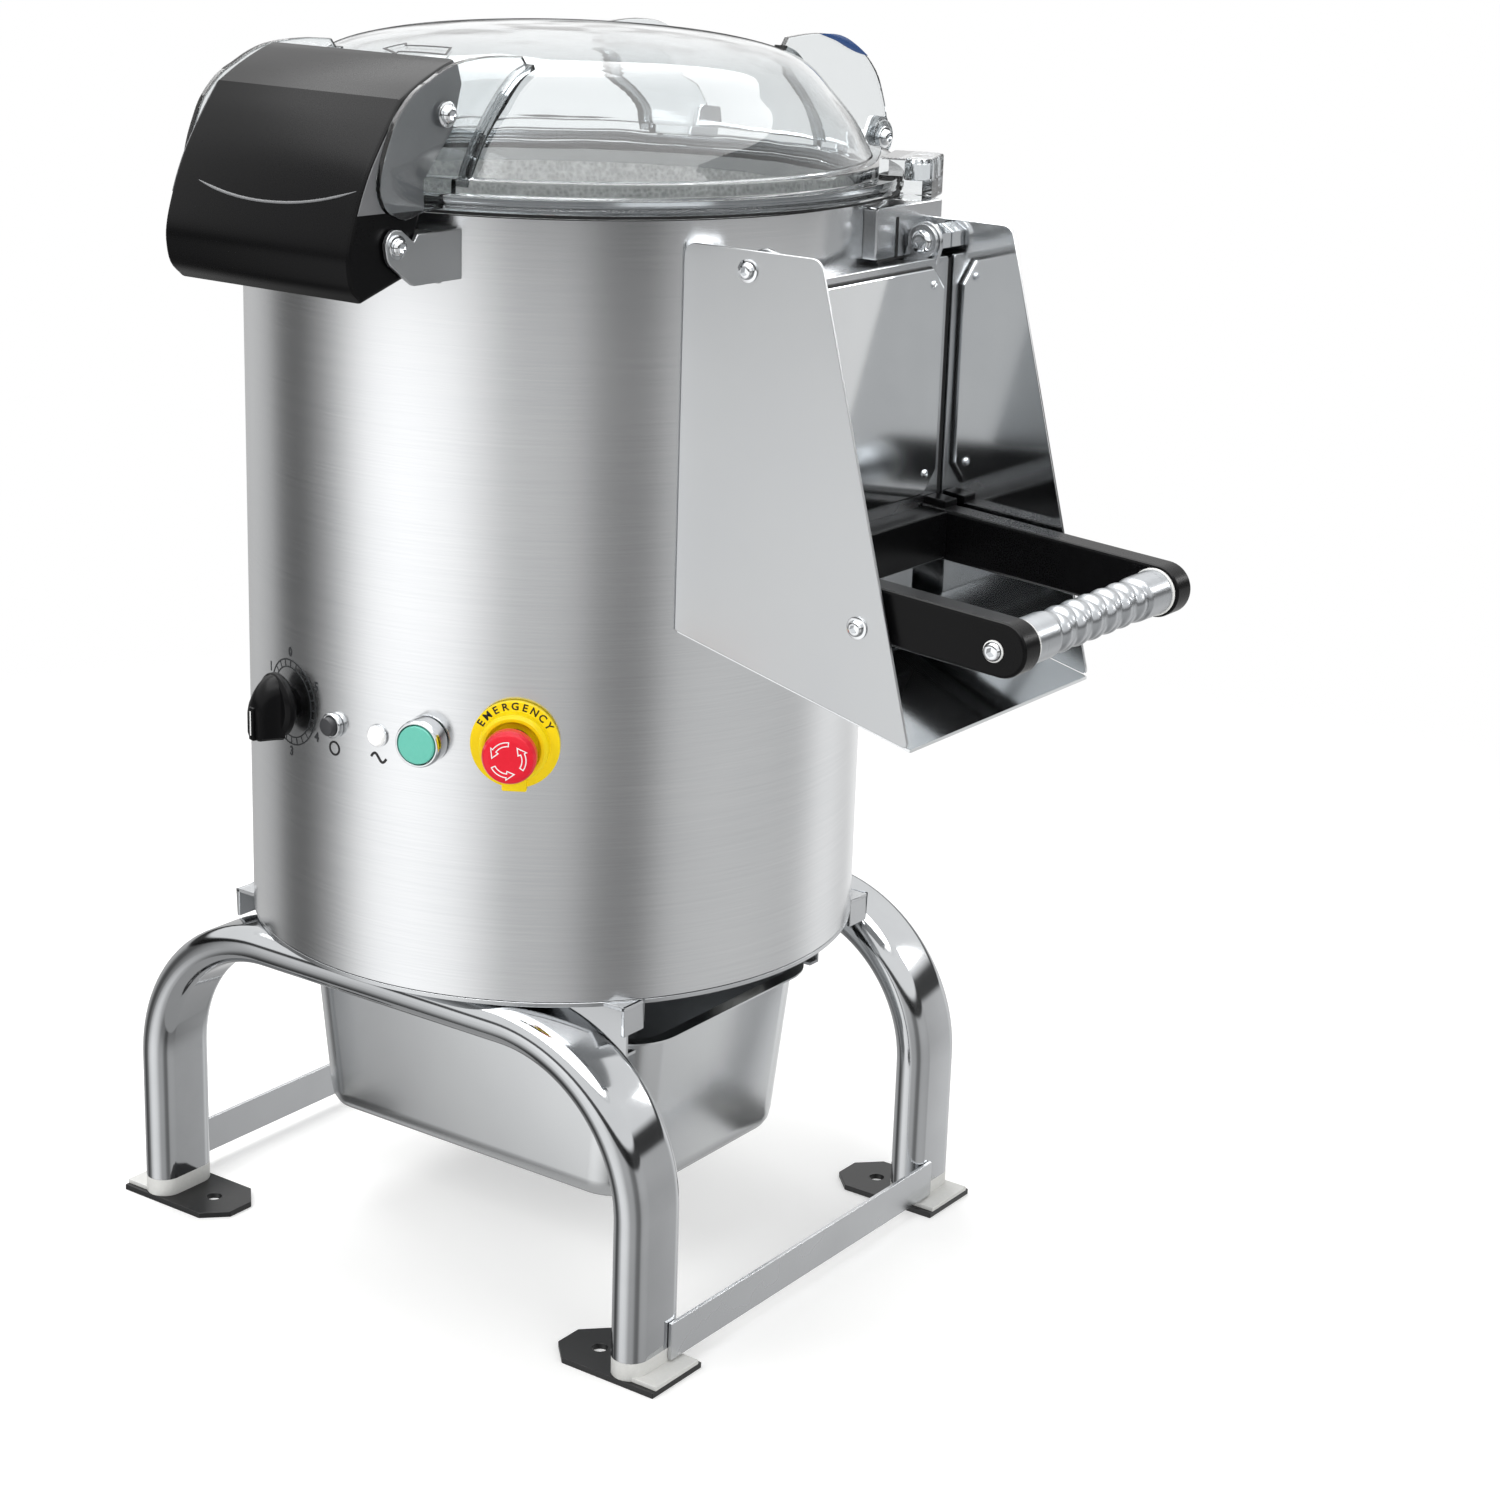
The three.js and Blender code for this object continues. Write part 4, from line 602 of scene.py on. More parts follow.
# printed ink marks: flat and even
inkGrey = makeFinish("InkGrey", ("#232527", "#2e3033"), (0.4, 0.5), (3, 3, 3), 0)
inkBlack = makeFinish("InkBlack", ("#0c0c0d", "#161617"), (0.4, 0.5), (3, 3, 3), 0)
inkWhite = makeFinish("InkWhite", ("#efefee", "#fbfbfa"), (0.4, 0.5), (3, 3, 3), 0)
# the lid's clear moulding, and the same plastic seen through its cut edges, which look greyer: that grey, put
# on the wing ribs, is painted shade
clearPlastic = makeClear("PolycarbonateClear", "#eceff0")
shadedClearPlastic = makeClear("PolycarbonateEdgeShade", "#a4a8aa")

slotFinish = {"brushed_steel": brushedSteel, "polished_steel": polishedSteel, "plain_steel": satinSteel,
              "cast_alloy": castAlloy, "grip_aluminium": gripAluminium, "clear_plastic": clearPlastic,
              "black_plastic": blackPlastic, "black_rubber": blackRubberAndShadow, "abrasive": abrasiveGrit,
              "grey_plastic": greyPlastic, "white_plastic": whitePlastic, "green_plastic": greenPlastic,
              "yellow_plastic": yellowPlastic, "red_plastic": redPlastic, "motor_paint": motorPaint}
for part in frame["record"]["subparts"]:
    node = frame["nodes"][part["node"]]
    node.data.materials.clear()
    node.data.materials.append(slotFinish[part["material_slot"]])
print("materials made")

# fasteners: a tree places a screw's mesh on points, each with the way it faces, at a random turn
screwTree, entry = newTree("PlaceOnPoints",
                           {"Part": ("Object", None), "Size": ("Float", 1.0), "Seed": ("Int", 3)})
wayField = addNode(screwTree, "GeometryNodeInputNamedAttribute", {"Name": "facing"}, data_type="FLOAT_VECTOR")
aimed = addNode(screwTree, "FunctionNodeAlignRotationToVector", {"Vector": wayField}, axis="Z")
spin = addNode(screwTree, "FunctionNodeRandomValue", {"Seed": entry["Seed"], 3: 6.283},
               data_type="FLOAT").outputs[1]
spin = addNode(screwTree, "ShaderNodeCombineXYZ", {"Z": spin})
spin = addNode(screwTree, "FunctionNodeEulerToRotation", {0: spin})
turned = addNode(screwTree, "FunctionNodeRotateRotation", {"Rotation": aimed, "Rotate By": spin},
                 rotation_space="LOCAL")
single = addNode(screwTree, "GeometryNodeObjectInfo", {"Object": entry["Part"]}, transform_space="ORIGINAL")
scattered = addNode(screwTree, "GeometryNodeInstanceOnPoints", {
    "Points": entry["Geometry"], "Instance": single.outputs["Geometry"], "Rotation": turned,
    "Scale": entry["Size"]})
closeTree(screwTree, scattered, entry["Finish"])


def socketScrew(radius, height, key):
    # a button head with a six-sided key hole: the hole's wall joins the head's top through a 24-point ring
    rings = [ring(radius * wide, height * high)
             for wide, high in ((1, 0), (1, 0.25), (0.94, 0.6), (0.78, 0.92), (0.62, 1))]
    corners = [Vector(corner) for corner in circle(0, 0, key, 6)]
    sixSided = [tuple(a.lerp(b, k / 4)) for a, b in zip(corners, corners[1:] + corners[:1]) for k in range(4)]
    return loft(rings + [laid(sixSided, height, "z"), laid(sixSided, height * 0.35, "z")])


# each screw's radius, height and key size; the bolt's head stands on a washer
screws = {"button": (4.6, 3.0, 2.3), "small": (2.6, 1.6, 1.3), "ear": (7.2, 3.2, 3.1),
          "bolt": (5.4, 3.6, 2.9)}
washer = {"profile": [(2, 0, 0), (7.3, 0), (7.3, 1.1), (2, 1.1, 0)], "ease": 0.3, "sunk": 1}
# each set: screw, body, size, the axis it is mirrored across, and its facing and places on the positive side
screwSets = {
    "HandlePivotHeads": ("bolt", "lid", 1.0, 0, (1, 0, 0), [(76.2, -199.5, 757)]),
    "HingePinHeads": ("bolt", "base", 1.0, 0, (1, 0, 0), [(76.5, 249, 715)]),
    "CatchBolts": ("bolt", "base", 0.95, 0, (1, 0, 0), [(75.3, -240, 687)]),
    "EyeScrews": ("ear", "base", 1.0, 1, (0, -1, 0), [(216.5, 79.9, 675.5)]),
    "PanelScrews": ("small", "door", 1.0, 1, (1, 0, 0), [(228.35, 77.5, 533), (228.35, 77.5, 650.5)]),
    "ArmScrews": ("button", "door", 1.25, 1, (0, 1, 0), [(387.5, 97.9, 484.6)]),
    "GuardBolts": ("bolt", "base", 0.92, 1, (0, 1, 0), [(217.3, 104, 676.2), (301, 104, 483.3)])}
sources = {}
for kind, sizes in screws.items():
    shapes = [socketScrew(*sizes)]
    if kind == "bolt":
        head = placed(shapes[0], Matrix.Translation((0, 0, washer["sunk"])))
        shapes = [lathe(rounded(washer["profile"], washer["ease"], 2), 32), head]
    sources[kind] = bpy.data.objects.new(kind, meshFrom(kind, shapes, Vector()))
for name, (kind, body, size, axis, way, spots) in screwSets.items():
    flips = [Vector([side if i == axis else 1 for i in range(3)]) for side in (-1, 1)]
    start = bpy.data.meshes.new(name)
    start.from_pydata([tuple(drumAxis + Vector(spot) * flip * mm) for flip in flips for spot in spots],
                      [], [])
    attribute = start.attributes.new("facing", "FLOAT_VECTOR", "POINT")
    for i, flip in enumerate([flip for flip in flips for spot in spots]):
        attribute.data[i].vector = Vector(way) * flip
    mesh = runTree(name, start, screwTree, {"Part": sources[kind], "Size": size, "Seed": 3, "Finish": chrome})
    addPiece(name, mesh, body, chrome, sharp=30)
print("fasteners made")

drum = {"radius": 200, "wall": 1.5, "low": 224, "high": 700}
liner = {"radius": 198.2, "wall": 3, "low": 449.3, "high": 690}
outlet = {"half": 75, "low": 487, "high": 649, "steps": 28, "roundSteps": 200, "ease": 0.4}
roundDrum = rod(200.2, 200, 760, 128)  # cuts what bears on the drum


def windowedShell(piece):
    # a tube wall with a square window towards +X
    outer, ease, steps = piece["radius"], outlet["ease"], outlet["steps"]
    inner = outer - piece["wall"]
    half = math.asin(outlet["half"] / outer)
    angles = [-half + 2 * half * i / steps for i in range(steps)]
    angles += [half + (2 * math.pi - 2 * half) * i / outlet["roundSteps"]
               for i in range(outlet["roundSteps"])]
    low, high = piece["low"], piece["high"]
    levels = [low, low + ease, outlet["low"], outlet["high"], high - ease, high]
    rows, columns = len(levels), len(angles)
    points, faces = [], []
    for turn in angles:
        for radius, way in ((outer, -1), (inner, 1)):
            for z in levels:
                reach = radius + (way * ease if z in (low, high) else 0)
                points.append((reach * math.cos(turn), reach * math.sin(turn), z))

    def at(column, row, side):
        return (column % columns * 2 + side) * rows + row

    for column in range(columns):
        inWindow = column < steps
        for row in range(rows - 1):
            if not (inWindow and row == 2):
                faces += [[at(column, row, side), at(column + 1, row, side),
                           at(column + 1, row + 1, side), at(column, row + 1, side)] for side in (0, 1)]
        for row in [0, rows - 1] + ([2, 3] if inWindow else []):
            faces.append([at(column, row, 0), at(column + 1, row, 0),
                          at(column + 1, row, 1), at(column, row, 1)])
    for column in (0, steps):
        faces.append([at(column, 2, 0), at(column, 3, 0), at(column, 3, 1), at(column, 2, 1)])
    return points, faces


addPiece("DrumShell", [windowedShell(drum)], "base", brushedSteel, "drum_shell", sharp=30)
addPiece("AbrasiveLiner", [windowedShell(liner)], "base", abrasiveGrit, "abrasive_liner",
         sharp=30)

disc = {"profile": [(0, 452, 0), (28, 452), (28, 466), (186.2, 466), (186.2, 476), (0, 476, 0)], "ease": 1.2,
        "ridges": 3, "half": 15, "high": 7, "foot": 475.6, "narrow": 0.6,
        # radius, and the ridge's share of its full size there
        "taper": [(28, 0.3), (36, 0.8), (46, 1), (164, 1), (174, 0.8), (180, 0.2)]}
discShapes = [lathe(rounded(disc["profile"], disc["ease"], 3), 128, closed=False)]
ridgeRun = [disc["half"] * (i / 10 - 1) for i in range(21)]
hump = [(y, disc["high"] * math.sqrt(max(0.0, 1 - (y / disc["half"]) ** 2))) for y in ridgeRun]
ridge = [[(x, y * (disc["narrow"] + (1 - disc["narrow"]) * share), disc["foot"] + z * share) for y, z in hump]
         for x, share in disc["taper"]]
for turn in range(disc["ridges"]):
    discShapes.append(placed(loft(ridge), Matrix.Rotation(turn * 2 * math.pi / disc["ridges"], 4, "Z")))
addPiece("AbrasiveDisc", discShapes, "disc", abrasiveGrit, "abrasive_disc", sharp=40)
print("drum made")

# the base plate has an angle lug, open at its ends, at each corner
plate = {"radius": 200, "low": 220.7, "high": 223.7, "lugX": 164.3, "lugY": 134.6, "flange": 20, "thick": 2.5,
         "drop": 16.4, "sunk": 0.2}
plateShapes = [rod(plate["radius"], plate["low"], plate["high"], 160)]
for sx in (-1, 1):
    for sy in (-1, 1):
        x, face = (sorted((sx * (plate["lugX"] - wide), sx * plate["lugX"]))
                   for wide in (plate["flange"], plate["thick"]))
        y = sorted((sy * (plate["lugY"] - plate["flange"]), sy * plate["lugY"]))
        top = plate["high"] - plate["sunk"]
        plateShapes += [box(x, y, (plate["low"] + plate["sunk"], top)),
                        box(face, y, (plate["low"] - plate["drop"], top))]
addPiece("BasePlate", plateShapes, "base", satinSteel, "base_plate", bevel=0.5)

# stand: a tree sweeps a flat-oval section along each arch
stand = {"thick": 25, "wide": 50, "legX": 202.5, "archY": 158, "top": 207.9, "bend": 102.5,
         "legLevels": (16.3, 40, 70, 90)}
archTree, entry = newTree("FlatOvalTube", {
    "Thickness": ("Float", 0.025), "Width": ("Float", 0.05), "Corner points": ("Int", 14)})
path = addNode(archTree, "GeometryNodeMeshToCurve", {0: entry["Geometry"]})
section = addNode(archTree, "GeometryNodeCurvePrimitiveQuadrilateral",
                  {"Width": entry["Thickness"], "Height": entry["Width"]})
halfThick = addNode(archTree, maths, {0: entry["Thickness"], 1: 0.4995}, operation="MULTIPLY")
oval = addNode(archTree, "GeometryNodeFilletCurve", {"Curve": section, "Count": entry["Corner points"],
                                                     "Radius": halfThick}, mode="POLY")
swept = addNode(archTree, "GeometryNodeCurveToMesh",
                {"Curve": path, "Profile Curve": oval, "Fill Caps": True})
closeTree(archTree, swept, entry["Finish"])
bend, flat, springing = stand["bend"], stand["legX"] - stand["bend"], stand["top"] - stand["bend"]
archRun = [(-stand["legX"], z) for z in stand["legLevels"]]
archRun += circle(-flat, springing, bend, 30, 180, 90) + circle(flat, springing, bend, 30, 90, 0)
archRun += [(stand["legX"], z) for z in stand["legLevels"][::-1]]
archSizes = {"Thickness": stand["thick"] * mm, "Width": stand["wide"] * mm, "Corner points": 14,
             "Finish": tubeSteel}
for side, word in ((-1, "front"), (1, "rear")):
    start = bpy.data.meshes.new("ArchPath")
    start.from_pydata([tuple(drumAxis + Vector((x, side * stand["archY"], z)) * mm) for x, z in archRun],
                      [(i, i + 1) for i in range(len(archRun) - 1)], [])
    arch = runTree("Arch", start, archTree, archSizes)
    addPiece("StandArch" + word.title(), arch, "base", tubeSteel, "stand_arch_" + word,
             sharp=50)

bar = {"inner": 215.3, "thick": 2.7, "low": 8.4, "high": 33.4, "reach": 150.1}
foot = {"plate": 4, "inward": 59.5, "outward": 26.5, "half": 25, "chamfer": 15, "holeIn": 34, "hole": 5,
        "tongueIn": 2, "tongueHalf": 22, "tongueHigh": 3, "sunk": 0.2,
        "collar": [(4, 0.985), (4.6, 1), (15.6, 1), (16.2, 0.985)]}  # heights, and the collar's size there


def holedPlate(outline, hole, radius, low, high, steps=48):
    # a plate with one round hole: rays from its centre meet the outline, and some move to its corners
    centre = Vector(hole)
    edge, inner = [], []
    for ray in circle(0, 0, 1, steps):
        way = Vector(ray)
        reach = []
        for a, b in zip(outline, outline[1:] + outline[:1]):
            start, side = Vector(a) - centre, Vector(b) - Vector(a)
            cross = way.x * side.y - way.y * side.x
            if abs(cross) > 1e-9 and -1e-9 <= (start.x * way.y - start.y * way.x) / cross <= 1 + 1e-9:
                reach.append((start.x * side.y - start.y * side.x) / cross)
        spot = centre + way * min(t for t in reach if t > 0)
        nearest = min(outline, key=lambda p: (Vector(p) - spot).length)
        edge.append(tuple(nearest) if (Vector(nearest) - spot).length < 2.2 else tuple(spot))
        inner.append(tuple(centre + way * radius))
    return loft(frameRings(edge, inner, low, high), joined=True)


legX, out, near, far = stand["legX"], foot["outward"], foot["half"], foot["half"] - foot["chamfer"]
inEnd = legX - foot["inward"]
footOutline = [(legX + out, -near), (legX + out, near), (inEnd + foot["chamfer"], near), (inEnd, far),
               (inEnd, -far), (inEnd + foot["chamfer"], -near)]
footPlate = holedPlate(footOutline, (legX - foot["holeIn"], 0), foot["hole"], 0, foot["plate"])
footTongue = box((legX + foot["tongueIn"], legX + out), (-foot["tongueHalf"], foot["tongueHalf"]),
                 (foot["plate"] - foot["sunk"], foot["plate"] + foot["tongueHigh"]))
endHalf = (stand["wide"] - stand["thick"]) / 2
ovalRun = [(x, y) for middle, start in ((endHalf, 0), (-endHalf, 180))
           for x, y in circle(0, middle, stand["thick"] / 2, 12, start, start + 180)]
footCollar = loft([[(legX + x * size, y * size, z) for x, y in ovalRun] for z, size in foot["collar"]])
for sx, xWord in ((-1, "left"), (1, "right")):
    x = sorted((sx * bar["inner"], sx * (bar["inner"] + bar["thick"])))
    barShape = box(x, (-bar["reach"], bar["reach"]), (bar["low"], bar["high"]))
    addPiece("SideBar" + xWord.title(), [barShape], "base", satinSteel, "side_bar_" + xWord,
             bevel=0.5)
    for sy, yWord in ((-1, "front"), (1, "rear")):
        name = yWord.title() + xWord.title()
        turn = Matrix.Rotation(math.pi if sx < 0 else 0, 4, "Z")
        turn = Matrix.Translation((0, sy * stand["archY"], 0)) @ turn
        addPiece("FloorPlate" + name, [placed(footPlate, turn)], "base", blackPaint,
                 f"foot_{yWord}_{xWord}", bevel=0.5)
        addPiece("FloorTongue" + name, [placed(footTongue, turn)], "base", greyPlastic,
                 bevel=0.6)
        addPiece("FootCollar" + name, [placed(footCollar, turn)], "base", greyPlastic,
                 sharp=50)
print("stand made")

tray = {"top": 180.3, "depth": 118, "halfX": 146, "halfY": 96, "shift": -1, "taperX": 12, "taperY": 4,
        "wall": 1.2, "lip": 8, "corner": 30, "footPull": 9, "cornerPull": 6,
        "foot": [(0, 1), (2.5, 0.35), (7, 0.08), (14, 0)]}  # the rounded foot: height, and share of the pull


def trayRing(grow, z, pullX=0.0, pullY=0.0, cornerPull=0.0):
    halfX, halfY = tray["halfX"] + grow - pullX, tray["halfY"] + grow - pullY
    corner = tray["corner"] + grow - cornerPull
    return [(x, y, z) for sx, sy, start in ((1, 1, 0), (-1, 1, 90), (-1, -1, 180), (1, -1, 270))
            for x, y in circle(sx * (halfX - corner) + tray["shift"], sy * (halfY - corner), corner, 10,
                               start, start + 90)]


def trayWall(grow, low):
    rings = []
    for up, share in tray["foot"]:
        lean = 1 - up / (tray["top"] - low)
        pull = share * tray["footPull"]
        rings.append(trayRing(grow, low + up, tray["taperX"] * lean + pull, tray["taperY"] * lean + pull,
                              min(pull, tray["cornerPull"])))
    return rings


wall, lip, top = tray["wall"], tray["lip"], tray["top"]
trayLow = top - tray["depth"]
lipRings = [trayRing(grow, z) for grow, z in ((0, top - wall), (lip, top - wall), (lip, top), (-wall, top))]
trayShape = loft(trayWall(0, trayLow) + lipRings + trayWall(-wall, trayLow + wall)[::-1])
addPiece("CatchTray", [trayShape], "tray", traySteel, "catch_tray", sharp=50)
print("tray made")

# lid: dome, flange, wings and tab in one clear moulding; outlines of the wings are in (y, z)
lid = {"flange": [(0, 704.3, 0), (216, 704.3), (216, 706.9, 0.3), (214.8, 707.5, 0.3), (214.8, 709.3, 0.3),
                  (216, 709.9, 0.3), (216, 713), (206, 713), (206, 720.8, 1.6), (193, 720.8, 1.2)],
       "ease": 0.9, "hollow": [(0, 690), (189, 690)], "foot": 193, "base": 700, "rise": 95, "wall": 4,
       "dome": [(1, 0.219), (0.945, 0.42), (0.87, 0.6), (0.76, 0.81), (0.56, 0.925), (0.26, 0.985), (0, 1)]}
wing = {"start": [(122, 773)], "end": [(233, 701), (215, 705), (180, 705)],
        "curve": [(133, 785.6), (158, 787), (183, 785.7), (199, 782), (213, 776), (224, 771), (233, 764),
                  (240.5, 756), (246, 746), (251.5, 733), (254, 719.5), (249, 708), (240, 703)],
        "inner": 72, "outer": 76, "edge": 0.9, "eye": 12, "eyeProud": 0.3, "bore": 4.3,
        "stripRun": [(168, 786.7), (187, 785.5), (200, 782.4), (213, 776.8), (225, 770.3)],
        "blueStripWide": 5.6, "blueStripX": (76.02, 76.35),
        "rib": [(126, 779.5), (140, 774), (156, 760), (170, 743), (180, 727), (184, 716)],
        "ribX": 74, "ribHalf": (4.6, 1.5)}
tab = {"outline": [(206, -22), (233, -22), (238, -17), (238, 17), (233, 22), (206, 22)], "low": 702,
       "high": 727, "edge": 1.2, "angle": 21, "postX": 227, "postY": 9.5, "postZ": 713.5, "postEase": 1,
       "post": [(0, 0, 0), (7, 0), (7, 10.5), (5.2, 13), (0, 13.4, 0)]}
pins = {"handle": (-199.5, 757), "hinge": (249, 715), "radius": 4, "half": 76.5}
arrow = {"corners": [(-35.0, -129.4), (-17.2, -138.0), (-17.4, -134.6), (18.1, -132.9), (11.3, -120.2),
                     (-21.9, -122.4), (-25.7, -118.0)], "line": 1.4, "step": 4, "low": 0.05, "high": 0.3}


def domeRun(wall):
    foot, rise = lid["foot"] - wall, lid["rise"] - wall
    run = smoothRun([(r * foot, lid["base"] + h * rise) for r, h in lid["dome"]], 7)
    return [(max(0.0, r), z) for r, z in run]


def onDome(x, y, up):
    # the dome's outer surface over a point
    reach = math.hypot(x, y)
    for (ra, za), (rb, zb) in zip(domeRun(0), domeRun(0)[1:]):
        if rb <= reach <= ra:
            return (x, y, za + (zb - za) * (reach - ra) / (rb - ra) + up)
    return (x, y, lid["base"] + lid["rise"] + up)


outerDome = rounded(lid["flange"], lid["ease"], 3, closed=False) + domeRun(0)[1:]
rearWing = wing["start"] + smoothRun(wing["curve"], 3) + wing["end"]
frontWing = [(-y, z) for y, z in rearWing]
wingSolids, pinHoles = [], []
for side in (-1, 1):
    low, high = sorted((side * wing["inner"], side * wing["outer"]))
    wingSolids += [softPrism(outline, low, high, "x", wing["edge"]) for outline in (rearWing, frontWing)]
    proud = wing["eyeProud"]
    eye = circle(*pins["hinge"], wing["eye"], 36)
    wingSolids.append(softPrism(eye, low - proud, high + proud, "x", wing["edge"]))
    pinHoles += [prism(circle(*pins[pin], wing["bore"], 24), low - 4, high + 4)
                 for pin in ("hinge", "handle")]
turnTab = Matrix.Rotation(math.radians(tab["angle"]), 4, "Z")
tabShape = placed(softPrism(tab["outline"], tab["low"], tab["high"], "z", tab["edge"]), turnTab)
lidMesh = fused("Lid", [lathe(outerDome, 128, closed=False), tabShape] + wingSolids,
                [lathe(lid["hollow"] + domeRun(lid["wall"]), 128, closed=False)] + pinHoles)
addPiece("LidClear", lidMesh, "lid", clearPlastic, "lid_cover", sharp=19)
stripRun = smoothRun(wing["stripRun"], 5)
stripEdge = [(y, z - wing["blueStripWide"] * math.sin(math.pi * i / (len(stripRun) - 1)) - 0.3)
            for i, (y, z) in enumerate(stripRun)]
stripShape = softPrism(stripRun + stripEdge[::-1], *wing["blueStripX"], "x", 0.05)
addPiece("WingFilm", [stripShape], "lid", blueStripFinish, sharp=30)

# the arrow's outline is cut into short steps, which follow the dome
arrowOuter, arrowInner = [], []
innerCorners = inset(arrow["corners"], arrow["line"])
cornerPairs = [(Vector(a), Vector(b)) for a, b in zip(arrow["corners"], innerCorners)]
for (a, c), (b, d) in zip(cornerPairs, cornerPairs[1:] + cornerPairs[:1]):
    count = max(1, int((b - a).length / arrow["step"]))
    arrowOuter += [tuple(a.lerp(b, i / count)) for i in range(count)]
    arrowInner += [tuple(c.lerp(d, i / count)) for i in range(count)]
arrowRings = frameRings(arrowOuter, arrowInner, arrow["low"], arrow["high"])
arrowShape = loft([[onDome(*point) for point in points] for points in arrowRings], joined=True)
addPiece("LidArrow", [arrowShape], "lid", inkBlack, sharp=30)
ribRun = smoothRun(wing["rib"], 4)
ribs = []
for side in (-1, 1):
    for way in (-1, 1):
        steps = []
        for i, (y, z) in enumerate(ribRun):
            d = wayAt(ribRun, i) * wing["ribHalf"][1]
            steps.append([(side * (wing["ribX"] + u * wing["ribHalf"][0]), way * (y + d.y * v), z - d.x * v)
                          for u, v in ((-1, -1), (1, -1), (1, 1), (-1, 1))])
        ribs.append(loft(steps))
# the ribs are clear plastic tinted grey: the grey is painted shade
addPiece("LidWingRibs", ribs, "lid", shadedClearPlastic, sharp=30)

# bands round the lid: rounding, its steps, finish, slot, node, sharp angle and profile
lidBands = {
    "LidRimBand": (0.3, 2, shadedSteel, "polished_steel", "", 30,
                   [(212.2, 705.3), (213.4, 705.3), (213.4, 711.9), (212.2, 711.9)]),
    # a black ring just under the flange: painted shadow of the flange on the drum's top
    "LidEdgeSeal": (0.4, 3, blackRubberAndShadow, "black_rubber", "", 40,
                    [(204, 702.7), (214.6, 702.7), (214.6, 704.35), (204, 704.35)]),
    "LidGasket": (0.8, 3, blackRubberAndShadow, "black_rubber", "lid_gasket", 40,
                  [(193.2, 700.4), (200.3, 700.4), (200.9, 702.2), (200.3, 704.1), (193.2, 704.1)])}
for name, (ease, detail, finish, slotName, node, sharp, profile) in lidBands.items():
    addPiece(name, [lathe(rounded(profile, ease, detail), 160)], "lid", finish, node, sharp=sharp)
post = lathe(rounded(tab["post"], tab["postEase"], 3, closed=False), 32, closed=False)
postSpots = [turnTab @ Vector((tab["postX"], side * tab["postY"], tab["postZ"])) for side in (-1, 1)]
posts = [placed(post, Matrix.Translation(spot)) for spot in postSpots]
addPiece("LidTabPosts", posts, "lid", chrome, sharp=35)
pinShape = rod(pins["radius"], -pins["half"], pins["half"])
for name, pin, body, node in (("HandlePivot", "handle", "lid", "handle_pivot_pin"),
                              ("HingePin", "hinge", "base", "lid_hinge_pin")):
    turnedPin = placed(pinShape, facing((0, *pins[pin]), (1, 0, 0)))
    addPiece(name, [turnedPin], body, chrome, node)
print("lid made")

# handle on the lid: outlines in (y, z), and how far its side faces draw in at each X
handle = {"wall": 4, "hollow": 67, "bore": 4.3, "low": 640, "back": -120, "upperSteps": 4,
          "front": [(-186, 786), (-195, 783.4), (-214, 775.5), (-231, 766.5), (-243, 751.5), (-256, 733),
                    (-264, 718), (-270, 703), (-274, 690), (-275, 679), (-272, 666), (-263, 657.5)],
          "rear": [(-228, 668), (-214, 705), (-214, 721), (-190, 747), (-182, 773)],
          "sides": [(2.6, 71), (1.2, 70.4), (0.35, 69.2), (0, 67.4)], "plateX": (70.9, 71.5), "plateLow": 704}
# the curved bead across the handle's front
bead = {"half": 59, "centre": 8, "tilt": 0.04, "low": 707.8, "ends": 716.5, "radius": 0.8, "flat": 0.9,
        "steps": 48, "bow": 2.1, "taper": 12, "thin": 0.25}
bend = handle["upperSteps"]
frontCurve = smoothRun(handle["front"][:bend], 4)[:-1] + smoothRun(handle["front"][bend - 1:], 4)
handleOutline = frontCurve + handle["rear"]
skinRun = []
for i, point in enumerate(frontCurve):
    d = wayAt(frontCurve, i)
    skinRun.append((point[0] - d.y * handle["wall"], point[1] + d.x * handle["wall"]))
low, back, hollow = handle["low"], handle["back"], handle["hollow"]
hollowOutline = skinRun + [(skinRun[-1][0], low), (back, low), (back, skinRun[0][1])]
sideRows = [(share, -x) for share, x in handle["sides"]] + handle["sides"][::-1]
handleMesh = fused("Handle", [loft([laid(inset(handleOutline, share), x, "x") for share, x in sideRows])],
                   [prism(hollowOutline, -hollow, hollow),
                    prism(circle(*pins["handle"], handle["bore"], 24), -90, 90)])
addPiece("LidHandle", handleMesh, "handle", blackPlastic, "lid_handle", sharp=19)


def frontAt(z):
    # where the handle's front face is at a height
    for (ya, za), (yb, zb) in zip(frontCurve, frontCurve[1:]):
        if (za - z) * (zb - z) <= 0 and za != zb:
            return ya + (yb - ya) * (z - za) / (zb - za)
    return frontCurve[-1][0]


beadRings = []
for i in range(bead["steps"] + 1):
    x = -bead["half"] + 2 * bead["half"] * i / bead["steps"]
    z = bead["low"] + (bead["ends"] - bead["low"]) * (abs(x) / bead["half"]) ** bead["bow"] + x * bead["tilt"]
    fade = bead["thin"] + (1 - bead["thin"]) * min(1, (bead["half"] - abs(x)) / bead["taper"])
    section = [(dz * fade, dy * bead["flat"] * fade) for dz, dy in circle(0, 0, bead["radius"], 8)]
    beadRings.append([(x + bead["centre"], frontAt(z + dz) - dy, z + dz) for dz, dy in section])
addPiece("HandleBead", [loft(beadRings)], "handle", endPaint, sharp=60)
endOutline = [point for point in inset(handleOutline, 1.6) if point[1] > handle["plateLow"]]
addPiece("HandleEndPlates", both(endOutline, *handle["plateX"], "x", 0.15), "handle", endPaint,
         sharp=19)

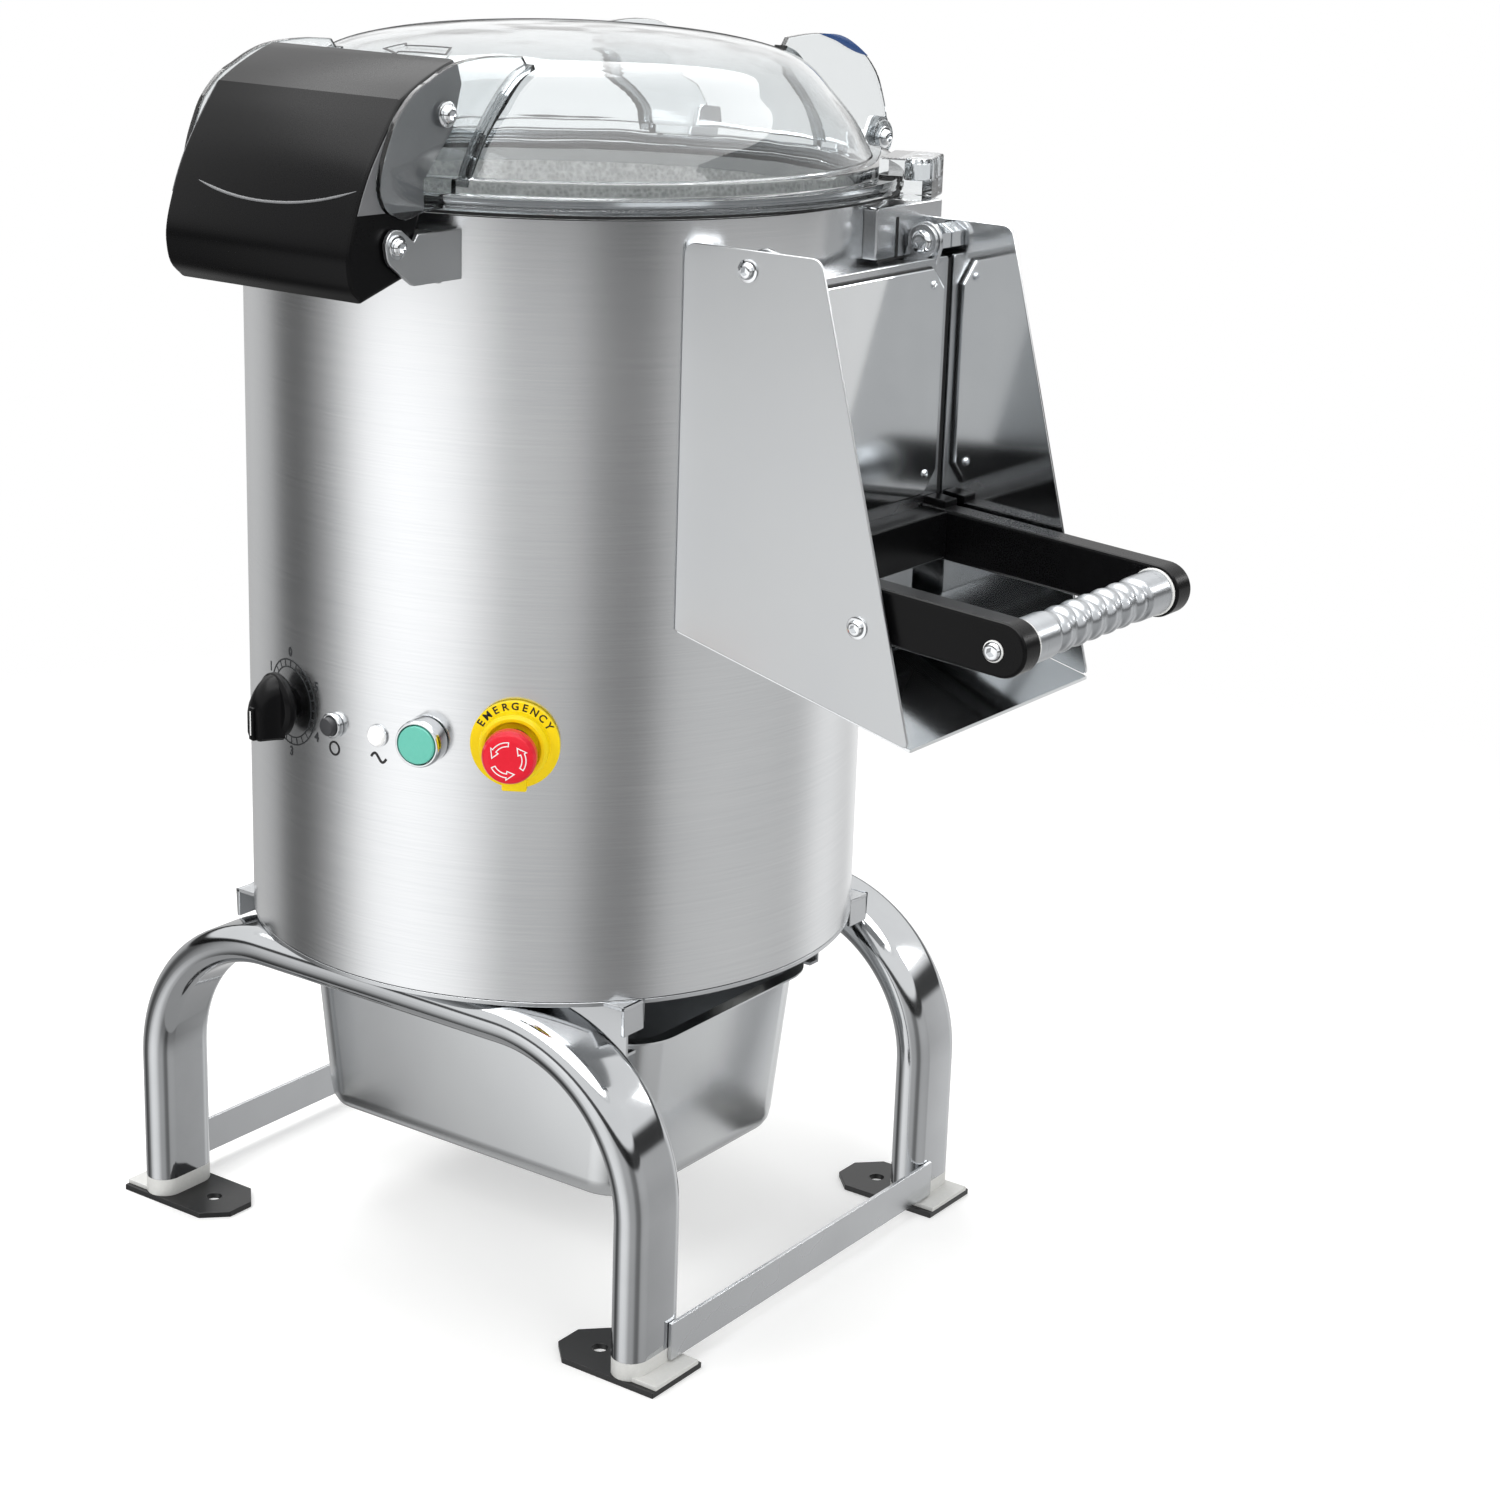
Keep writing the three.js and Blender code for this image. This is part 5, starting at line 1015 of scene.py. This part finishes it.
# brackets on the drum: a plate bent round it, and two ears in (y, z)
brackets = {
    "HingeBracket": {"plate": ((-68, 68), (200.1, 203.3), (640, 695)), "earX": (67, 70), "ease": 5,
                     "ear": [(180, 640, 6), (214.7, 640, 6), (264, 696.4), (264, 727.6, 6), (239.7, 730, 6),
                             (221.8, 696.4), (180, 696.4, 4)],
                     "finish": satinSteel, "node": "lid_hinge_bracket"},
    "CatchBracket": {"plate": ((-73, 73), (-203.3, -200.1), (663, 692)), "earX": (72.3, 75.3), "ease": 6,
                     "ear": [(-180, 664, 2), (-226, 664, 5), (-247, 678.5, 9), (-249.5, 690, 8),
                             (-243.5, 697, 6), (-236, 696, 4), (-225.6, 688.6, 1), (-222.5, 692.6, 1),
                             (-180, 692.6, 2)],
                     "finish": guardSteel, "node": "catch_bracket"}}
for name, piece in brackets.items():
    ears = both(rounded(piece["ear"], piece["ease"], 5), *piece["earX"], "x", 0.5)
    mesh = fused(name, [box(*piece["plate"])] + ears, [roundDrum])
    addPiece(name, mesh, "base", piece["finish"], piece["node"], sharp=19)

switchBox = {"outline": [(48, 665), (122, 665), (122, 697), (48, 697)], "ease": 2.5, "x": (130, 204),
             "seams": [((203.7, 204.4), (69.5, 72.3), (665.5, 690)),
                       ((203.6, 204.3), (49, 121), (664.2, 665.6))]}
boxShape = softPrism(rounded(switchBox["outline"], switchBox["ease"], 4), *switchBox["x"], "x", 1.0)
addPiece("SwitchBox", fused("SwitchBox", [boxShape], [roundDrum]), "base", satinSteel,
         "switch_box", sharp=19)
seams = [box(*seam) for seam in switchBox["seams"]]
addPiece("SwitchBoxSeams", seams, "base", blackRubberAndShadow, bevel=0.2)
print("handle, hinge and catch made")

# outlet door: outlines across it in (x, z), and of its faces in (y, z)
door = {"pivot": (216.5, 675.5), "bore": 3.3, "pin": (3, 77, 88), "barrel": 9.2, "barrelY": (87.1, 101.5),
        "grip": (392, 485.5), "gripY": 77.6}
chute = {"out": 339, "lip": 418, "slope": 0.242, "back": 172, "half": 101.7, "thick": 2, "edge": 0.3}
doorFrame = {"back": 170, "face": 219.7, "top": 662, "lift": 0.3, "half": 83, "eyeY": (80, 83), "eye": 10.5}
seal = {"outer": [(-80, 482), (80, 482), (80, 654), (-80, 654)], "outerEase": 6, "x": (220, 221.7),
        "slope": 0.8, "inner": [(-75, 487), (75, 487), (75, 649), (-75, 649)], "innerEase": 2}
leaf = {"outline": [(-98.6, 481), (98.6, 481), (98.6, 666), (-98.6, 666)], "ease": 3, "x": (222, 225),
        "ear": 11.5, "earFoot": [(204.4, 661), (225, 661), (228, 672)], "earY": (83.6, 86.6)}
panel = {"outline": [(-77, 520), (77, 520), (90.5, 534), (90.5, 647), (77, 660.5), (-77, 660.5), (-90.5, 647),
                     (-90.5, 534)], "ease": 1.5, "x": (225.4, 228.4), "gap": 1.1, "gapX": (224.9, 226.2)}
crossbar = {"outline": [(225.2, 481.3, 0), (245, 481.3), (245, 511.3), (225.2, 511.3, 0)], "ease": 1.6,
            "half": 79.8}
arm = {"low": (225.3, 481), "high": (225.3, 513), "middle": (225.3, 497), "end": 16, "y": (80, 98),
       "edge": 1.8, "stop": [(225.3, 508), (241, 508), (241, 516), (225.3, 517.5)], "stopY": (84, 98),
       "ring": [(5.4, 0), (6.4, 0), (6.4, 0.9), (5.4, 0.9)], "ringAt": (387.5, 97.8, 484.6)}
# black strips that fill the gaps between the door's leaf and the guards: painted shade of those gaps
gapShadeStrip = {"outline": [(219.8, 488), (223.5, 488), (223.5, 664), (219.8, 664)], "y": (99, 102.2)}


def chuteTop(x):
    return chute["lip"] + (chute["out"] - x) * chute["slope"]


def onSides(shape, x, y, z, way=1):
    # a turned shape on either side of the middle, its Z outwards
    return [placed(shape, facing((x, side * y, z), (0, side * way, 0))) for side in (-1, 1)]


back, face, top = doorFrame["back"], doorFrame["face"], doorFrame["top"]
frameOutline = [(back, chuteTop(back) + doorFrame["lift"]), (face, chuteTop(face) + doorFrame["lift"]),
                (face, top), (back, top)]
eyeOutline = [(203, top - 1)] + circle(*door["pivot"], doorFrame["eye"], 24, 195, -60) + [(219.6, top - 1)]
opening = box((100, 240), (-outlet["half"], outlet["half"]), (outlet["low"], outlet["high"]))
rodHole = prism(circle(*door["pivot"], door["bore"], 24), -120, 120, "y")
frameSolids = [prism(frameOutline, -doorFrame["half"], doorFrame["half"], "y")]
frameSolids += both(eyeOutline, *doorFrame["eyeY"], "y", 0.4)
addPiece("DoorFrame", fused("DoorFrame", frameSolids, [opening, roundDrum]), "base", satinSteel,
         "door_frame", sharp=19)
sealOuter = rounded(seal["outer"], seal["outerEase"], 6)
sealInner = rounded(seal["inner"], seal["innerEase"], 6)
low, high = seal["x"]
sealRings = [laid(run, x, "x") for x, run in ((low, sealOuter), (high, inset(sealOuter, seal["slope"])),
                                              (high, inset(sealInner, -seal["slope"])), (low, sealInner))]
addPiece("DoorSeal", [loft(sealRings, joined=True)], "base", blackRubberAndShadow, "door_seal",
         sharp=50)
earOutline = leaf["earFoot"] + circle(*door["pivot"], leaf["ear"], 20, 0, 180)
leafSolids = [softPrism(rounded(leaf["outline"], leaf["ease"], 4), *leaf["x"], "x", 0.5)]
leafSolids += both(earOutline, *leaf["earY"], "y", 0.6)
addPiece("DoorLeaf", fused("DoorLeaf", leafSolids, [rodHole]), "door", satinSteel,
         "door_leaf", sharp=19)
pinEnds = onSides(rod(*door["pin"]), door["pivot"][0], 0, door["pivot"][1])
barrels = both(circle(*door["pivot"], door["barrel"], 6, 30, 390), *door["barrelY"], "y", 0.9)
addPiece("DoorPins", pinEnds + barrels, "base", chrome, "door_hinge_rod", sharp=19)
gapShape = softPrism(rounded(inset(panel["outline"], -panel["gap"]), panel["ease"], 3), *panel["gapX"], "x",
                     0.2)
addPiece("PanelShadowGap", [gapShape], "door", blackRubberAndShadow, sharp=19)
panelShape = softPrism(rounded(panel["outline"], panel["ease"], 3), *panel["x"], "x", 0.7)
addPiece("DoorPanel", [panelShape], "door", polishedSteel, "door_panel", sharp=19)
barShape = softPrism(rounded(crossbar["outline"], crossbar["ease"], 4), -crossbar["half"], crossbar["half"],
                     "y", 0.4)
addPiece("DoorCrossbar", [barShape], "door", blackPlastic, "door_crossbar", sharp=19)
lean = math.degrees(math.atan2(door["grip"][1] - arm["middle"][1], door["grip"][0] - arm["middle"][0]))
armOutline = [arm["low"]] + circle(*door["grip"], arm["end"], 24, lean - 90, lean + 90) + [arm["high"]]
arms = both(armOutline, *arm["y"], "y", arm["edge"])
stops = both(rounded(arm["stop"], 1.2, 3), *arm["stopY"], "y", 0.6)
for armShape, stopShape, word in zip(arms, stops, ("front", "rear")):
    addPiece("DoorArm" + word.title(), [armShape, stopShape], "door", blackPlastic,
             "door_arm_" + word, sharp=19)
addPiece("ArmScrewRings", onSides(lathe(arm["ring"], 40), *arm["ringAt"]), "door", whitePlastic,
         sharp=40)

# the grip's diamond swellings follow a rule, two crossing twists, so a tree shapes them on a plain tube
grip = {"Length": 0.1594, "Neck": 0.0122, "Swelling": 0.0015, "Pitch": 0.0175, "Twisted share": 0.64}
gripRing = [(11, 0), (14.3, 0), (14.6, 0.6), (14.6, 1.6), (14.3, 2.2), (11, 2.2)]
gripTree, entry = newTree("TwistedGrip", {label: ("Float", value) for label, value in grip.items()})
tube = addNode(gripTree, "GeometryNodeMeshCylinder", {
    "Vertices": 96, "Side Segments": 220, "Radius": entry["Neck"],
    "Depth": entry["Length"]}, fill_type="TRIANGLE_FAN")
spot = addNode(gripTree, "GeometryNodeInputPosition")
spot = addNode(gripTree, "ShaderNodeSeparateXYZ", {0: spot}).outputs
bearing = addNode(gripTree, maths, {0: spot["Y"], 1: spot["X"]}, operation="ARCTAN2")
doubled = addNode(gripTree, maths, {0: bearing, 1: 2.0}, operation="MULTIPLY")
travel = addNode(gripTree, maths, {0: spot["Z"], 1: entry["Pitch"]}, operation="DIVIDE")
travel = addNode(gripTree, maths, {0: travel, 1: 6.2832}, operation="MULTIPLY")
twists = []
for hand in ("ADD", "SUBTRACT"):
    twist = addNode(gripTree, maths, {0: travel, 1: doubled}, operation=hand)
    twist = addNode(gripTree, maths, {0: twist, 1: 0.5}, operation="MULTIPLY")
    for step in ("SINE", "ABSOLUTE"):
        twist = addNode(gripTree, maths, {0: twist}, operation=step)
    twists.append(twist)
wave = addNode(gripTree, maths, {0: twists[0], 1: twists[1]}, operation="MULTIPLY")
# past the twisted share the swellings fade into a plain bar of full size
reach = addNode(gripTree, maths, {0: entry["Length"], 1: entry["Twisted share"]}, operation="MULTIPLY")
reach = addNode(gripTree, maths, {0: reach, 1: 0.5}, operation="MULTIPLY")
fadeEnd = addNode(gripTree, maths, {0: reach, 1: 0.003}, operation="ADD")
away = addNode(gripTree, maths, {0: spot["Z"]}, operation="ABSOLUTE")
fadeSpan = {"Value": away, "From Min": reach, "From Max": fadeEnd, "To Min": 1.0, "To Max": 0.0}
fade = addNode(gripTree, "ShaderNodeMapRange", fadeSpan, interpolation_type="SMOOTHSTEP")
plain = addNode(gripTree, maths, {0: 1.0, 1: fade}, operation="SUBTRACT")
lift = addNode(gripTree, maths, {0: wave, 1: fade}, operation="MULTIPLY")
lift = addNode(gripTree, maths, {0: lift, 1: plain}, operation="ADD")
lift = addNode(gripTree, maths, {0: lift, 1: entry["Swelling"]}, operation="MULTIPLY")
outward = addNode(gripTree, "ShaderNodeCombineXYZ", {0: spot["X"], 1: spot["Y"]})
outward = addNode(gripTree, vectorMaths, {0: outward}, operation="NORMALIZE")
push = addNode(gripTree, vectorMaths, {0: outward, "Scale": lift}, operation="SCALE")
shaped = addNode(gripTree, "GeometryNodeSetPosition", {"Geometry": tube, "Offset": push})
closeTree(gripTree, shaped, entry["Finish"])
gripMesh = runTree("Grip", bpy.data.meshes.new("GripStart"), gripTree, {**grip, "Finish": gripAluminium})
gripSpot = Vector((door["grip"][0], 0, door["grip"][1])) * mm
gripMesh.transform(Matrix.Translation(drumAxis + gripSpot) @ Matrix.Rotation(math.pi / 2, 4, "X"))
addPiece("DoorGrip", gripMesh, "door", gripAluminium, "door_grip", sharp=50)
gripRings = onSides(lathe([(r, door["gripY"] + z) for r, z in gripRing], 64), door["grip"][0], 0,
                    door["grip"][1])
addPiece("GripRings", gripRings, "door", whitePlastic, sharp=40)
# the gaps beside the leaf filled with black strips: painted shade
addPiece("DoorSideStrips", both(gapShadeStrip["outline"], *gapShadeStrip["y"], "y", 0.3), "base", blackRubberAndShadow,
         sharp=19)
print("door made")

# guards and chute; the rear guard has a notch round the switch box
guard = {"back": 172.2, "out": 339, "lip": 418, "top": 688, "topOut": 266.5, "y": (102, 104), "edge": 0.45,
         "notch": ((100, 204.4), (90, 130), (664.6, 720))}
guardOutline = rounded([(guard["back"], chuteTop(guard["back"]), 2), (guard["out"], guard["lip"], 3),
                        (guard["topOut"], guard["top"], 9), (guard["back"], guard["top"], 9)], 8, 6)
frontGuard, rearGuard = both(guardOutline, *guard["y"], "y", guard["edge"])
addPiece("GuardFront", [frontGuard], "base", guardSteel, "guard_front", sharp=19)
addPiece("GuardRear", fused("GuardRear", [rearGuard], [box(*guard["notch"])]), "base", polishedSteel,
         "guard_rear", sharp=19)
back, out, thick = chute["back"], chute["out"], chute["thick"]
chuteOutline = [(back, chuteTop(back) - thick), (out, chute["lip"] - thick), (out, chute["lip"]),
                (back, chuteTop(back))]
chuteShape = softPrism(chuteOutline, -chute["half"], chute["half"], "y", chute["edge"])
addPiece("ChuteFloor", fused("ChuteFloor", [chuteShape], [roundDrum]), "base", polishedSteel,
         "chute_floor", sharp=19)
print("guards and chute made")

# controls: each one's bearing on the drum in degrees from -Y, and its height
controls = {"timer": (-16.4, 388), "stop": (-3.6, 384), "lamp": (6.3, 384), "start": (15.9, 387),
            "estop": (31.9, 390)}
markDepth = {"ink": 0.12, "proud": 0.08}


def onDrum(angle, up):
    # a frame on the drum's face: X along the face, Y up, Z outwards
    turn = math.radians(angle)
    outward = Vector((math.sin(turn), -math.cos(turn), 0))
    along = Vector((math.cos(turn), math.sin(turn), 0))
    matrix = Matrix((along, Vector((0, 0, 1)), outward)).transposed().to_4x4()
    matrix.translation = outward * drum["radius"] + Vector((0, 0, up))
    return matrix


def wrapped(shape, angle, up):
    # a flat shape bent round the drum's face: x along the face, y up, z outwards
    points = []
    for x, y, z in shape[0]:
        turn = math.radians(angle) + x / drum["radius"]
        radius = drum["radius"] + markDepth["proud"] + z
        points.append((radius * math.sin(turn), -radius * math.cos(turn), up + y))
    return points, shape[1]


def letters(text, size, heavy):
    # generic lettering as a thin mesh in millimetres, centred on the origin
    curve = bpy.data.curves.new("Letters", "FONT")
    curve.body = text
    curve.size = size
    curve.align_x = "CENTER"
    curve.align_y = "CENTER"
    curve.extrude = markDepth["ink"] / 2
    curve.offset = heavy
    curve.resolution_u = 3
    return shapeOf(baked(linked("Letters", curve)))


def band(outerRadius, innerRadius, steps=96):
    ink = markDepth["ink"]
    return lathe([(outerRadius, 0), (outerRadius, ink), (innerRadius, ink), (innerRadius, 0)], steps)


seats = {name: onDrum(*spot) for name, spot in controls.items()}

# turned pieces: control, body, finish, slot, node, rounding and its steps, steps round, sharp angle and
# profile; a profile that starts on the axis is a solid one, the others are rings
turnedPieces = {
    "StopRing": ("stop", "base", chrome, "polished_steel", "stop_switch", 0.5, 3, 48, 40,
                 [(6.1, 0.2), (7.9, 0.2), (7.9, 3.4), (7.1, 4.2), (6.1, 4.2)]),
    "StopButton": ("stop", "stop_cap", darkPlastic, "black_plastic", "stop_button", 0.6, 3, 40, 40,
                   [(0, -5, 0), (5.8, -5), (5.8, 7.2), (5, 8), (0, 8.1, 0)]),
    "PowerLamp": ("lamp", "base", lampPlastic, "white_plastic", "power_lamp", 0.8, 4, 48, 40,
                  [(0, -2, 0), (6.25, -2), (6.25, 2.2), (5.2, 3.8), (3, 4.5), (0, 4.7, 0)]),
    "LampRing": ("lamp", "base", chrome, "polished_steel", "", 0.25, 2, 48, 40,
                 [(6.35, 0.1), (7.1, 0.1), (7.1, 1.5), (6.35, 1.5)]),
    "StartBezel": ("start", "base", chrome, "polished_steel", "start_switch", 0.5, 3, 72, 40,
                   [(12.5, 1.2), (14.7, 1.2), (14.7, 10.2), (14.3, 12.4), (13.7, 13.8), (12.5, 13.8)]),
    "StartButton": ("start", "start_cap", greenPlastic, "green_plastic", "start_button", 0.35, 3, 64, 40,
                    [(0, 5.5, 0), (11.8, 5.5), (11.8, 14.1), (11.2, 14.7), (0, 14.7, 0)]),
    "EstopRing": ("estop", "base", yellowPlastic, "yellow_plastic", "estop_ring", 0.5, 3, 96, 40,
                  [(11, 1.5), (27, 1.5), (27, 4.3), (26.4, 4.8), (21, 4.8), (20.8, 11.8), (18.9, 14.2),
                   (16.9, 14.2), (14.6, 8), (11, 8)]),
    "EstopStem": ("estop", "estop_stem", chrome, "polished_steel", "estop_plunger", 0.2, 2, 32, 35,
                  [(0, 4, 0), (6, 4), (6, 26), (0, 26, 0)]),
    "EstopHead": ("estop", "estop_head", redPlastic, "red_plastic", "estop_button", 2.0, 5, 72, 40,
                  [(0, 27.3, 0), (6.3, 27.3, 0), (6.3, 19, 0), (13, 19), (16.25, 24), (16.25, 30.2),
                   (14.8, 33.6), (11.5, 34.9), (0, 35.1, 0)])}
estopTab = {"outline": [(-7.5, -19.5), (-7.5, -28.4), (7.5, -28.4), (7.5, -19.5)], "low": 1.6, "high": 7.6}
for name, row in turnedPieces.items():
    control, body, finish, slotName, node, ease, detail, steps, sharp, profile = row
    isRing = profile[0][0] > 0
    shapes = [lathe(rounded(profile, ease, detail, isRing), steps, isRing)]
    if name == "EstopRing":
        shapes.append(softPrism(rounded(estopTab["outline"], 1.2, 4), estopTab["low"], estopTab["high"],
                                "z", 0.9))
    addPiece(name, [placed(shape, seats[control]) for shape in shapes], body, finish, node,
             sharp=sharp)

# timer knob: a neck, a round flange, and a bulging grip, highest at its lower end, with a ridge down it
knob = {"neck": (9.5, 1.5, 7),
        "flange": [(0, 6, 0), (17.5, 6), (20, 8.4), (20, 11.6), (17, 14), (0, 14.3, 0)],
        # height, half width and top
        "grip": [(12, 13.5, 19.2), (14, 12, 18.6), (17, 10.6, 17), (20, 9.6, 14.4), (23, 8.8, 10.6),
                 (25.6, 8, 5.6), (27, 6.8, 1.4)],
        "foot": -20.4, "lastFoot": -19.2, "crown": 0.95,
        "corners": [(-1, 2.4), (-0.8, 0.5), (-0.5, 0), (0.5, 0), (0.8, 0.5), (1, 2.4)],
        "ridge": [(-20.2, 20), (-20.2, 28.6), (0.5, 28.6), (1.5, 25)], "ridgeHalf": 2.6,
        "pointer": ((-0.6, 0.6), (-17, -1.5), (28.4, 28.75))}
knobRings = []
for z, half, top in knob["grip"]:
    tall = half * knob["crown"]
    crown = [(x, top - tall + y * knob["crown"]) for x, y in circle(0, 0, half, 12, 0, 180)]
    foot = knob["lastFoot"] if z == knob["grip"][-1][0] else knob["foot"]
    corners = [(half * wide, foot + up) for wide, up in knob["corners"]]
    knobRings.append(laid(crown + corners, z, "z"))
radius, low, high = knob["neck"]
knobShapes = [rod(radius, low, high, 40),
              lathe(rounded(knob["flange"], 1.4, 4, closed=False), 72, closed=False), loft(knobRings),
              softPrism(rounded(knob["ridge"], 0.8, 3), -knob["ridgeHalf"], knob["ridgeHalf"], "x", 0.5)]
addPiece("TimerKnob", [placed(shape, seats["timer"]) for shape in knobShapes], "timer_dial", blackPlastic,
         "timer_knob", bevel=0.4, sharp=32)
addPiece("KnobPointer", [placed(box(*knob["pointer"]), seats["timer"])], "timer_dial", inkWhite)

# dial marks: a tree repeats the ticks round a circle, between two rings, with the numerals outside
dial = {"ticks": 24, "radius": 24.6, "length": 4.8, "width": 0.9, "rings": [(27.4, 26.5), (22.7, 21.9)],
        "numerals": 32, "size": 8.2, "heavy": 0.3, "turns": (90, 150, 210, 270, 330, 30)}
tickTree, entry = newTree("DialTicks", {
    "Ticks": ("Int", 48), "Radius": ("Float", 27.0), "Length": ("Float", 3.2), "Width": ("Float", 0.45),
    "Depth": ("Float", 0.12)})
tickCircle = addNode(tickTree, "GeometryNodeMeshCircle",
                     {"Vertices": entry["Ticks"], "Radius": entry["Radius"]})
tickSize = addNode(tickTree, "ShaderNodeCombineXYZ",
                   {0: entry["Length"], 1: entry["Width"], 2: entry["Depth"]})
tickShape = addNode(tickTree, "GeometryNodeMeshCube", {"Size": tickSize})
tickSpot = addNode(tickTree, "GeometryNodeInputPosition")
tickAim = addNode(tickTree, "FunctionNodeAlignRotationToVector", {"Vector": tickSpot}, axis="X")
tickRow = addNode(tickTree, "GeometryNodeInstanceOnPoints",
                  {"Points": tickCircle, "Instance": tickShape, "Rotation": tickAim})
closeTree(tickTree, tickRow, entry["Finish"])
tickValues = {"Ticks": dial["ticks"], "Radius": dial["radius"], "Length": dial["length"],
              "Width": dial["width"], "Depth": markDepth["ink"], "Finish": inkGrey}
marks = [shapeOf(runTree("Ticks", bpy.data.meshes.new("TickStart"), tickTree, tickValues))]
marks += [band(*radii) for radii in dial["rings"]]
for number, turn in enumerate(dial["turns"]):
    spot = Matrix.Rotation(math.radians(turn), 4, "Z") @ Vector((dial["numerals"], 0, 0))
    marks.append(placed(letters(str(number), dial["size"], dial["heavy"]), Matrix.Translation(spot)))
marks = [wrapped(shape, *controls["timer"]) for shape in marks]
addPiece("DialMarks", marks, "base", inkGrey, sharp=40)

# printed marks under the stop button and the lamp: an O and a wave
glyph = {"o": (4.7, 3.4), "oAt": (-0.5, -15.2, 0), "waveHalf": 5.6, "waveHigh": 2.6,
         "waveAt": (0.4, -14.0, 0), "line": 0.8, "steps": 24}
ringMark = placed(band(*glyph["o"], steps=48), Matrix.Translation(glyph["oAt"]))
steps, ink = glyph["steps"], markDepth["ink"]
wavePath = [(glyph["waveHalf"] * (2 * i / steps - 1), glyph["waveHigh"] * math.sin(2 * math.pi * i / steps))
            for i in range(steps + 1)]
waveRings = []
for i, (x, y) in enumerate(wavePath):
    d = wayAt(wavePath, i) * glyph["line"]
    waveRings.append([(x - d.y, y + d.x, 0), (x - d.y, y + d.x, ink),
                      (x + d.y, y - d.x, ink), (x + d.y, y - d.x, 0)])
waveMark = placed(loft(waveRings), Matrix.Translation(glyph["waveAt"]))
glyphs = [wrapped(ringMark, *controls["stop"]), wrapped(waveMark, *controls["lamp"])]
addPiece("ControlGlyphs", glyphs, "base", inkBlack, sharp=40)

# emergency stop: lettering round its yellow ring, and turning arrows on its red head
legend = {"word": "EMERGENCY", "radius": 23.7, "height": 4.8, "from": 58, "to": -58, "size": 6.4,
          "heavy": 0.16}
turnArrow = {"radius": 9.6, "half": 1.5, "headHalf": 3.2, "headTurn": 34, "from": 86, "to": 178, "line": 0.62,
             "low": 35.0, "high": 35.22}
lettering = []
for i, letter in enumerate(legend["word"]):
    turn = legend["from"] + (legend["to"] - legend["from"]) * i / (len(legend["word"]) - 1)
    spot = Matrix.Translation((0, legend["radius"], legend["height"]))
    spot = Matrix.Rotation(math.radians(turn), 4, "Z") @ spot
    lettering.append(placed(letters(letter, legend["size"], legend["heavy"]), seats["estop"] @ spot))
addPiece("EstopLettering", lettering, "base", inkBlack, sharp=40)
arrows = []
for turn in (0, 120, 240):
    start, end = turnArrow["from"] + turn, turnArrow["to"] + turn
    neck, radius, half = end - turnArrow["headTurn"], turnArrow["radius"], turnArrow["half"]
    wide = turnArrow["headHalf"]
    head = [circle(0, 0, reach, 1, angle, angle + 1)[0]
            for reach, angle in ((radius + wide, neck), (radius, end), (radius - wide, neck))]
    outline = circle(0, 0, radius + half, 10, start, neck) + head
    outline += circle(0, 0, radius - half, 10, neck, start)
    rings = frameRings(outline, inset(outline, turnArrow["line"]), turnArrow["low"], turnArrow["high"])
    arrows.append(placed(loft(rings, joined=True), seats["estop"]))
addPiece("EstopArrows", arrows, "estop_head", inkWhite, sharp=40)
print("controls made")

sizes = {"cad": [list(corner) for corner in cadBounds], "visual": [list(corner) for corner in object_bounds()]}
